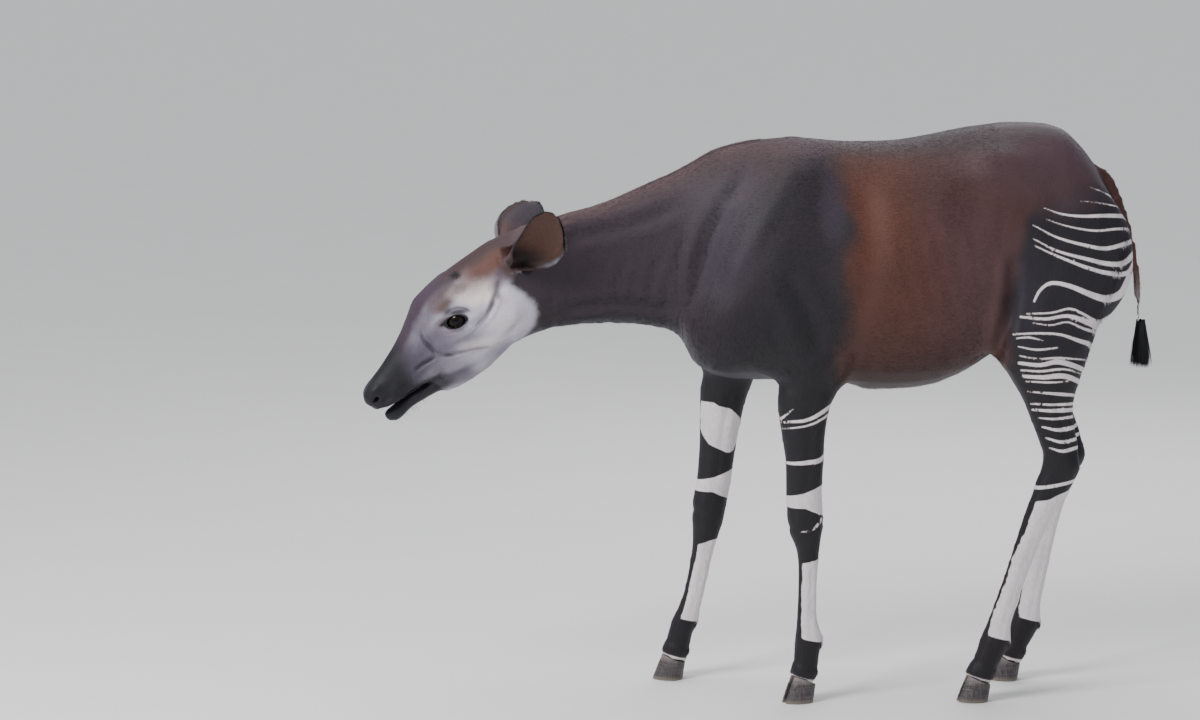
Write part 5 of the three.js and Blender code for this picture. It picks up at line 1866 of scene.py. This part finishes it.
@dataclass
class Coat:
    """The short coat in thin flat tufts, region by region."""

    bed: HairBed
    finish: Material
    face_back_x: float = -0.585
    neck_back_x: float = -0.1
    haunch_front_x: float = 0.62
    limb_top: float = 0.90
    muzzle_along: float = 470.0

    def build(self) -> None:
        """Grows every region of the coat."""
        x, y, z = self.bed.middles.T
        local = to_head(self.bed.middles)
        ear = self.bed.ear[self.bed.corners].mean(1) >= 0.5
        tail = self.bed.tail[self.bed.corners].mean(1) >= 0.5
        head = (x < self.face_back_x) & ~ear
        limbs = (z < self.limb_top) & (x > CHEST_X)
        trunk = ~(head | limbs | ear | tail)
        flank = trunk & (x > self.neck_back_x) & (x < self.haunch_front_x)
        haunch, left = trunk & (x >= self.haunch_front_x), y < MIDDLE_Y
        muzzle = local[:, 0] < -self.muzzle_along
        eye_gap = np.zeros(len(x), bool)
        for side in Side:
            along, across, out = EYES[side].local(local)
            eye_gap |= (np.hypot(along / 36, across / 23) < 1) & (out > 0)
        flank_cut, haunch_cut = HairCut(13, 1.2, 2.0, 0.25), HairCut(6.5, 1.0, 2.2, 0.2)
        leg_cut = HairCut(5.5, 0.8, 2.5, 0.2)
        plan = (
            ("coat_flank_left", flank & left, 41000, flank_cut, "coat_body"),
            ("coat_flank_right", flank & ~left, 41000, flank_cut, "coat_body"),
            ("coat_haunch_left", haunch & left, 40000, haunch_cut, "coat_body"),
            ("coat_haunch_right", haunch & ~left, 40000, haunch_cut, "coat_body"),
            ("coat_neck", trunk & (x <= self.neck_back_x), 44000, HairCut(12, 1.1, 2.2, 0.25), "coat_neck"),
            ("coat_forelegs", limbs & (x < MID_TRUNK_X), 36000, leg_cut, "coat_legs"),
            ("coat_hindlegs", limbs & (x >= MID_TRUNK_X), 36000, leg_cut, "coat_legs"),
            ("coat_face", head & ~muzzle & ~eye_gap, 44000, HairCut(4.5, 0.6, 3.0, 0.2), "coat_face"),
            ("coat_ears", ear, 18000, HairCut(6, 0.7, 5.0, 0.2), "coat_ear"),
            ("coat_tail", tail, 4000, HairCut(12, 1.2, 6.0, 0.4), "coat_tail"),
        )
        for seed, (name, where, count, cut, slot) in enumerate(plan):
            roots = self.bed.scatter(count, where.astype(float), cut.length, 100 + seed)
            grow(name, roots, cut, self.finish, 200 + seed)


@dataclass(frozen=True)
class Fringe:
    """Longer hair along a line: its line and spread in metres, its lie and its cut."""

    line: Array | Sequence[Point3]
    count: int
    towards: Point3
    cut: HairCut
    spread: float
    colour: Array | None = None
    mirrored: bool = False

    def roots(self, bed: HairBed, seed: int) -> Roots:
        """Sets the fringe's roots on the skin, on both sides if it is mirrored."""
        draw = np.random.default_rng(seed)
        path = smooth_path(self.line, 6)
        steps = np.linalg.norm(np.diff(path, axis=0), axis=1)
        walked = np.concatenate([[0], np.cumsum(steps)])
        along = draw.uniform(0, walked[-1], self.count)
        places = np.stack([np.interp(along, walked, path[:, i]) for i in range(3)], 1)
        places = places + draw.normal(size=places.shape) * self.spread
        lie = np.tile(self.towards, (self.count, 1))
        if self.mirrored:
            flip = draw.random(self.count) < 0.5
            places[:, 1] = np.where(flip, 2 * MIDDLE_Y - places[:, 1], places[:, 1])
            lie[:, 1] = np.where(flip, -lie[:, 1], lie[:, 1])
        return bed.nearest(places, lie, self.colour)


def head_way(direction: Point3) -> Point3:
    """A direction in the frame from one in the head's own frame."""
    return tuple(HEAD_TURN @ np.array(direction))


@dataclass
class Fringes:
    """Longer hair where the coat breaks the outline, on the body and on the head."""

    bed: HairBed
    finish: Material

    def body_lines(self) -> tuple[Fringe, ...]:
        """Mane line, chest, belly, elbows, stifle folds, buttocks and fetlocks."""
        mane = ((-0.58, -0.03, 1.262), (-0.40, -0.01, 1.318), (-0.20, 0.01, 1.41), (0.0, 0.012, 1.485))
        chest = ((-0.50, -0.03, 1.0), (-0.25, 0.012, 0.985), (-0.16, 0.012, 0.92), (0.0, 0.012, 0.85))
        belly = ((0.26, 0.012, 0.80), (0.42, 0.012, 0.80), (0.60, 0.012, 0.84))
        elbow = ((0.235, -0.15, 0.96), (0.225, -0.155, 0.91), (0.20, -0.15, 0.87))
        stifle = ((0.66, -0.16, 0.99), (0.62, -0.14, 0.93), (0.58, -0.12, 0.90))
        buttock = ((0.95, -0.05, 1.38), (0.93, -0.10, 1.22), (0.88, -0.13, 1.05), (0.85, -0.12, 0.92))
        lines = [
            Fringe(mane, 3200, (1.0, 0, 0.35), HairCut(13, 1.2, 12, 0.4), 5 * MM),
            Fringe(chest, 1800, (0.8, 0, -0.7), HairCut(13, 1.2, 10, 0.4), 8 * MM),
            Fringe(belly, 2400, (1.0, 0, -0.6), HairCut(17, 1.4, 12, 0.4), 10 * MM),
            Fringe(elbow, 900, (0.6, -0.1, -0.8), HairCut(18, 1.4, 12, 0.4), 7 * MM, mirrored=True),
            Fringe(stifle, 900, (0.5, 0, -0.9), HairCut(16, 1.3, 12, 0.4), 6 * MM, mirrored=True),
            Fringe(buttock, 2600, (0.5, 0, -0.9), HairCut(12, 1.1, 12, 0.3), 7 * MM, mirrored=True),
        ]
        for side in Side:
            for leg in (FORELEG[side], HINDLEG[side]):
                for height, reach, count, length in ((160, 34, 420, 13), (84, 24, 240, 9)):
                    place = np.array((np.interp(height, leg.heights, leg.places) + reach, 0, height)) * MM
                    place[1] = MIDDLE_Y + side.value * leg.side_y * MM
                    ends = place + ((0, -0.012, 0.004), (0.002, 0, 0), (0, 0.012, 0.004))
                    cut = HairCut(length, 1.1, 10, 0.3)
                    lines.append(Fringe(ends, count, (0.4, 0, -1), cut, 5 * MM))
        return tuple(lines)

    def ear_lines(self, cup: EarCup, edge: int) -> tuple[Fringe, ...]:
        """Hair on one edge of an ear, with a pale fringe where that edge is the lower one.

        Args:
            cup: the ear.
            edge: -1 or 1 for the edge.

        Returns:
            The fringes, from the palest to the lining's own.
        """
        share = np.array((0.12, 0.3, 0.5, 0.7, 0.86, 0.97))
        half = np.interp(share, *EAR_WIDTHS)
        bow = np.interp(share, *EAR_BOWS) * cup.bow_share
        middle = cup.base + cup.axis * (cup.seat + share * cup.length)[:, None]
        rim = middle + cup.across * (bow + edge * half)[:, None]
        line, other = from_head(rim), from_head(rim - 2 * cup.across * edge * half[:, None])
        way = head_way(cup.axis * 0.8 + cup.across * edge * 0.7)
        inner = from_head(rim - cup.across * edge * 7 + cup.opening * 4)[:5]
        inner_way = head_way(cup.axis * 0.7 - cup.across * edge * 0.8)
        dark = Fringe(line, 1500, way, HairCut(8, 0.8, 4, 0.3), 1.5 * MM, COLOURS.ear_rim)
        lining = Fringe(inner, 500, inner_way, HairCut(11, 0.6, 5, 0.2), 2.5 * MM, COLOURS.ear_brown)
        if line[:, 2].mean() >= other[:, 2].mean():
            return dark, lining
        pale = Fringe(line[1:4], 600, way, HairCut(13, 0.8, 6, 0.3), 2 * MM, COLOURS.cream)
        return pale, dark, lining

    def head_lines(self) -> tuple[Fringe, ...]:
        """Ear rims and fringes, the whorl on the forehead, chin and lip whiskers."""
        lines = [line for side in Side for edge in (-1, 1) for line in self.ear_lines(EARS[side], edge)]
        whorl = HairCut(9, 0.9, 10, 0.3)
        for y in (-1, 1):
            knob = from_head(((-172, 50 * y, 66), (-186, 50 * y, 64)))
            lines.append(Fringe(knob, 240, head_way((0.4, -0.1 * y, 1)), whorl, 4 * MM, COLOURS.ear_rim))
        whisker = HairCut(15, 0.5, 40, 0.3, spread=0.35, segments=3, variety=0.5, free=True)
        for y in (-1, 1):
            chin = from_head(((-560, 20 * y, -110), (-520, 20 * y, -116), (-460, 22 * y, -120)))
            lines.append(Fringe(chin, 34, head_way((0.2, 0.5 * y, -1)), whisker, 9 * MM, COLOURS.lid_and_shade))
        return tuple(lines)

    def build(self) -> None:
        """Grows the fringes, joined to one piece on the body and one on the head."""
        self.grow_lines("fringe_body", self.body_lines())
        self.grow_lines("fringe_head", self.head_lines())

    def grow_lines(self, name: str, lines: Sequence[Fringe]) -> None:
        """Grows some fringes as one piece.

        Args:
            name: the piece's name.
            lines: the fringes.
        """
        parts = []
        for i, line in enumerate(lines):
            roots = line.roots(self.bed, 300 + i)
            parts.append(grow(name, roots, line.cut, self.finish, 400 + i))
        join(parts, name)


@dataclass
class Lashes:
    """The dark lashes of the upper lids."""

    bed: HairBed
    finish: Material
    per_lid: int = 130

    def build(self) -> None:
        """Sets lashes along the rim of both upper lids."""
        parts = []
        for number, side in enumerate(Side):
            eye = EYES[side]
            draw = np.random.default_rng(60 + number)
            turn = np.radians(draw.uniform(12, 168, self.per_lid))
            long = np.cos(turn) * OPENING_LENGTH / 2 * 1.02
            high = np.sin(turn) * OPENING_HEIGHT / 2 * 1.04
            depth = np.sqrt(np.maximum((EYE_RADIUS + 2.5) ** 2 - long**2 - high**2, 60))
            rows = eye.centre + long[:, None] * eye.long + high[:, None] * eye.high
            rows = from_head(rows + depth[:, None] * eye.out)
            lie = eye.out * 0.9 + eye.high * -0.25 + (long / 40)[:, None] * eye.long * 0.5
            roots = self.bed.nearest(rows, lie @ HEAD_TURN.T, COLOURS.lid_and_shade)
            roots.points = rows
            cut = HairCut(14, 0.9, 12, 0.4, 1.5, spread=0.08, segments=3, variety=0.25, free=True)
            parts.append(grow("lashes", roots, cut, self.finish, 70 + number))
        join(parts, "lashes")


@dataclass
class Tongue:
    """The dark tongue that lies in the slightly open mouth."""

    finish: Material
    path: tuple[Point2, ...] = ((-405, -97), (-440, -84), (-480, -72), (-520, -65), (-548, -58))
    half_width: float = 19.0
    half_height: float = 5.0

    def build(self) -> None:
        """Models the tongue from a stretched ball that is bent along the mouth."""
        bpy.ops.object.select_all(action="DESELECT")
        bpy.ops.mesh.primitive_uv_sphere_add(segments=32, ring_count=24, radius=1.0)
        piece = bpy.context.object
        piece.name = "tongue"
        piece.data.name = "tongue"
        ball = points_of(piece.data)
        path = smooth_path(self.path, 8)
        share = (ball[:, 2] + 1) / 2 * (len(path) - 1)
        along, up = (np.interp(share, np.arange(len(path)), path[:, i]) for i in range(2))
        groove = -1.2 * bell(ball[:, 1], 0.16) * (ball[:, 0] > 0.2)
        up = up + (ball[:, 0] * self.half_height + groove)
        set_points(piece.data, from_head(np.stack([along, ball[:, 1] * self.half_width, up], 1)))
        with editing(piece):
            bpy.ops.mesh.normals_make_consistent(inside=False)
        bpy.ops.object.shade_smooth()
        piece.data.materials.append(self.finish)
        finish_piece(piece)


@dataclass
class TailTuft:
    """The long hair at the end of the tail."""

    finish: Material
    bed: HairBed
    locks: int = 700
    length: float = 112.0

    def build(self) -> None:
        """Sets the tuft's locks round the tail's end, in place of the solid one."""
        draw = np.random.default_rng(41)
        low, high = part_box("tail_tuft")
        middle = np.array(((low.x + high.x) / 2 - 0.004, (low.y + high.y) / 2, high.z))
        drop = draw.uniform(-0.02, 0.055, self.locks)
        turn = draw.uniform(0, 2 * math.pi, self.locks)
        radius = 0.0105 * (1 - 0.4 * np.clip(drop / 0.06, 0, 1))
        outward = np.stack([np.cos(turn), np.sin(turn), np.zeros(self.locks)], 1)
        points = middle + outward * radius[:, None] - np.array((0, 0, 1)) * drop[:, None]
        points[:, 0] += 0.06 * drop
        down = np.tile((0.05, 0.0, -1.0), (self.locks, 1))
        normals = unit(outward + 0.02)
        lie = unit(down - dots(down, normals)[:, None] * normals)
        tail_end = np.argmax(self.bed.tail[self.bed.corners[:, 0]])
        roots = Roots(
            points,
            normals,
            lie,
            np.tile(COLOURS.tuft, (self.locks, 1)),
            np.full(self.locks, -MARK_REACH),
            np.ones(self.locks),
            np.tile(self.bed.uv[tail_end, 0], (self.locks, 1)),
        )
        reach = (middle[2] - drop - low.z) / (self.length * MM)
        cut = HairCut(self.length, 3.0, 6.5, 1.4, spread=0.05, segments=4, variety=0.0)
        scale = np.clip(reach * draw.uniform(0.72, 0.99, self.locks), 0.3, 1.2)
        piece = grow("tail_tuft_hair", roots, cut, self.finish, 42, scale)
        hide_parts("tail_tuft")


# Eyes, hooves, floor, light and camera


@dataclass
class Eyeball:
    """One eye: a ball with a raised cornea."""

    side: Side
    finish: Material

    def build(self) -> None:
        """Models the ball and lays out its map round the pupil."""
        eye = EYES[self.side]
        radius = EYE_RADIUS * MM
        centre = from_head(eye.centre)[0]
        out = HEAD_TURN @ eye.out
        long = HEAD_TURN @ eye.long
        high = HEAD_TURN @ eye.high
        bpy.ops.object.select_all(action="DESELECT")
        bpy.ops.mesh.primitive_uv_sphere_add(segments=64, ring_count=40, radius=radius, location=centre)
        piece = bpy.context.object
        piece.name = f"eyeball_{self.side.name.lower()}"
        piece.data.name = piece.name
        bpy.ops.object.transform_apply(location=True, rotation=True, scale=True)
        bpy.ops.object.shade_smooth()
        mesh = piece.data
        away = points_of(mesh) - centre
        front = away @ out / radius
        cornea = 1 + 0.02 * ramp(0.55, 0.98, front)
        set_points(mesh, centre + away * cornea[:, None] * 0.995)
        u = 0.5 + 0.5 * (away @ long) / radius
        v = 0.5 + 0.5 * (away @ high) / radius
        gaze = new_map(mesh, "gaze")
        index = read(mesh.loops, "vertex_index", 1, np.int32)[:, 0]
        gaze.data.foreach_set("uv", np.stack([u, v], 1)[index].astype(np.float32).ravel())
        mesh.materials.append(self.finish)
        finish_piece(piece, (f"eye_{self.side.name.lower()}",))


@dataclass
class Hooves:
    """The eight claws, each a smooth copy of its solid with growth rings."""

    finish: Material
    legs: tuple[str, ...] = ("foreleg_left", "foreleg_right", "hindleg_left", "hindleg_right")

    def build(self) -> None:
        """Models every claw."""
        for leg in self.legs:
            for place in ("inner", "outer"):
                self.claw(f"hoof_{leg}_{place}")

    def claw(self, node: str) -> None:
        """Rounds one claw and raises its growth rings.

        Args:
            node: the solid's name.
        """
        piece = copy_of(node)
        piece.name = f"{node}_horn"
        piece.data.name = piece.name
        angle = math.radians(50)
        apply_modifier(piece, "BEVEL", width=1.6 * MM, segments=2, limit_method="ANGLE", angle_limit=angle)
        apply_modifier(piece, "SUBSURF", levels=2, render_levels=2)
        mesh = piece.data
        points, normals = points_of(mesh), normals_of(mesh)
        z = points[:, 2] / MM
        wall = ramp(0.75, 0.3, np.abs(normals[:, 2])) * ramp(3, 9, z)
        rings = 0.35 * np.sin(z * 2 * math.pi / 5.2 + 2 * waves(points, 20, 12)) * wall
        rings -= 0.9 * bell(z - 56, 4) * wall
        points = points + normals * ((rings - 0.3 * wall) * MM)[:, None]
        points[:, 2] = np.maximum(points[:, 2], 0)
        set_points(mesh, points)
        select_only(piece)
        bpy.ops.object.shade_smooth()
        mesh.materials.append(self.finish)
        finish_piece(piece, (node,))


@dataclass
class Studio:
    """Floor, soft lights and the camera at the photograph's angle."""

    target: Point3 = (-0.423, 0.012, 0.909)
    distance: float = 9.0
    elevation: float = 8.0
    pixels_per_metre: float = 371.0
    sensor: float = 36.0

    def build(self) -> None:
        """Sets up all of the studio."""
        self.floor()
        self.camera()
        self.lights()

    def floor(self) -> None:
        """Lays the pale floor."""
        bpy.ops.object.select_all(action="DESELECT")
        bpy.ops.mesh.primitive_plane_add(size=300, location=(0, 0, 0))
        floor = bpy.context.object
        floor.name = "floor"
        floor.data.materials.append(FloorFinish().material())

    def camera(self) -> None:
        """Places the camera where the photograph was taken."""
        camera = bpy.data.cameras.new("camera")
        holder = bpy.data.objects.new("camera", camera)
        bpy.context.scene.collection.objects.link(holder)
        angle = math.radians(self.elevation)
        back = Vector((0, -math.cos(angle), math.sin(angle)))
        holder.location = Vector(self.target) + back * self.distance
        holder.rotation_euler = (-back).to_track_quat("-Z", "Y").to_euler()
        camera.sensor_width = self.sensor
        camera.lens = self.pixels_per_metre * self.distance / PHOTO_WIDTH * self.sensor
        bpy.context.scene.camera = holder

    def lights(self) -> None:
        """Hangs the soft lights and sets the pale surroundings."""
        for name, place, size, power in (
            ("key", (-3.4, -3.0, 4.2), 2.0, 290),
            ("fill", (3.4, -4.2, 2.0), 3.6, 35),
            ("back", (1.6, 3.8, 3.8), 3.0, 80),
        ):
            data = bpy.data.lights.new(name, "AREA")
            data.size = size
            data.energy = power
            lamp = bpy.data.objects.new(name, data)
            lamp.location = place
            aim = Vector((0.0, 0.0, 0.9)) - Vector(place)
            lamp.rotation_euler = aim.to_track_quat("-Z", "Y").to_euler()
            bpy.context.scene.collection.objects.link(lamp)
        sky = bpy.data.lights.new("sky", "SUN")
        sky.energy = 1.5
        sky.angle = math.radians(50)
        lamp = bpy.data.objects.new("sky", sky)
        lamp.rotation_euler = (math.radians(-12), math.radians(-8), 0)
        bpy.context.scene.collection.objects.link(lamp)
        world = bpy.data.worlds.new("studio_air")
        world.use_nodes = True
        world.node_tree.nodes["Background"].inputs[0].default_value = (0.80, 0.84, 0.92, 1)
        world.node_tree.nodes["Background"].inputs[1].default_value = 0.42
        bpy.context.scene.world = world


def dress_skin(skin: Skin, finish: Material) -> None:
    """Gives the skin its map, colours, markings and material.

    Args:
        skin: the finished skin.
        finish: the coat's material.
    """
    mesh = skin.piece.data
    new_map(mesh, "OFBake")
    with editing(skin.piece):
        bpy.ops.uv.smart_project(angle_limit=math.radians(66), island_margin=0.002)
    parts = skin.ear_share, skin.jaw_share, skin.tail_share
    pattern = CoatPattern(points_of(mesh), normals_of(mesh), *parts)
    set_colour(mesh, "coat", pattern.colour())
    set_value(mesh, "marking", pattern.marking())
    set_value(mesh, "upright", np.abs(pattern.lie()[:, 2]))
    set_value(mesh, "shade", np.zeros(len(mesh.vertices)))
    mesh.materials.clear()
    mesh.materials.append(finish)
    finish_piece(skin.piece, skin.flesh)


def save_sizes() -> None:
    """Brings the scene's view layer up to date."""
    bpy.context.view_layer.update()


def main() -> None:
    """Builds the okapi piece by piece."""
    logging.basicConfig(level=logging.INFO, format="%(message)s")
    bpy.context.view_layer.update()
    Studio().build()
    skin = Skin()
    skin.build()
    LOG.info("skin modelled")
    skin_finish = CoatFinish("coat_skin").material()
    hair_finish = CoatFinish("coat_hair", relief=0.35).material()
    dress_skin(skin, skin_finish)
    bed = HairBed(skin)
    Coat(bed, hair_finish).build()
    Fringes(bed, hair_finish).build()
    Lashes(bed, hair_finish).build()
    Tongue(TongueFinish().material()).build()
    TailTuft(hair_finish, bed).build()
    wet = WetFinish().material()
    for side in Side:
        Eyeball(side, wet).build()
    Hooves(HornFinish().material()).build()
    save_sizes()


if __name__ == "__main__":
    main()
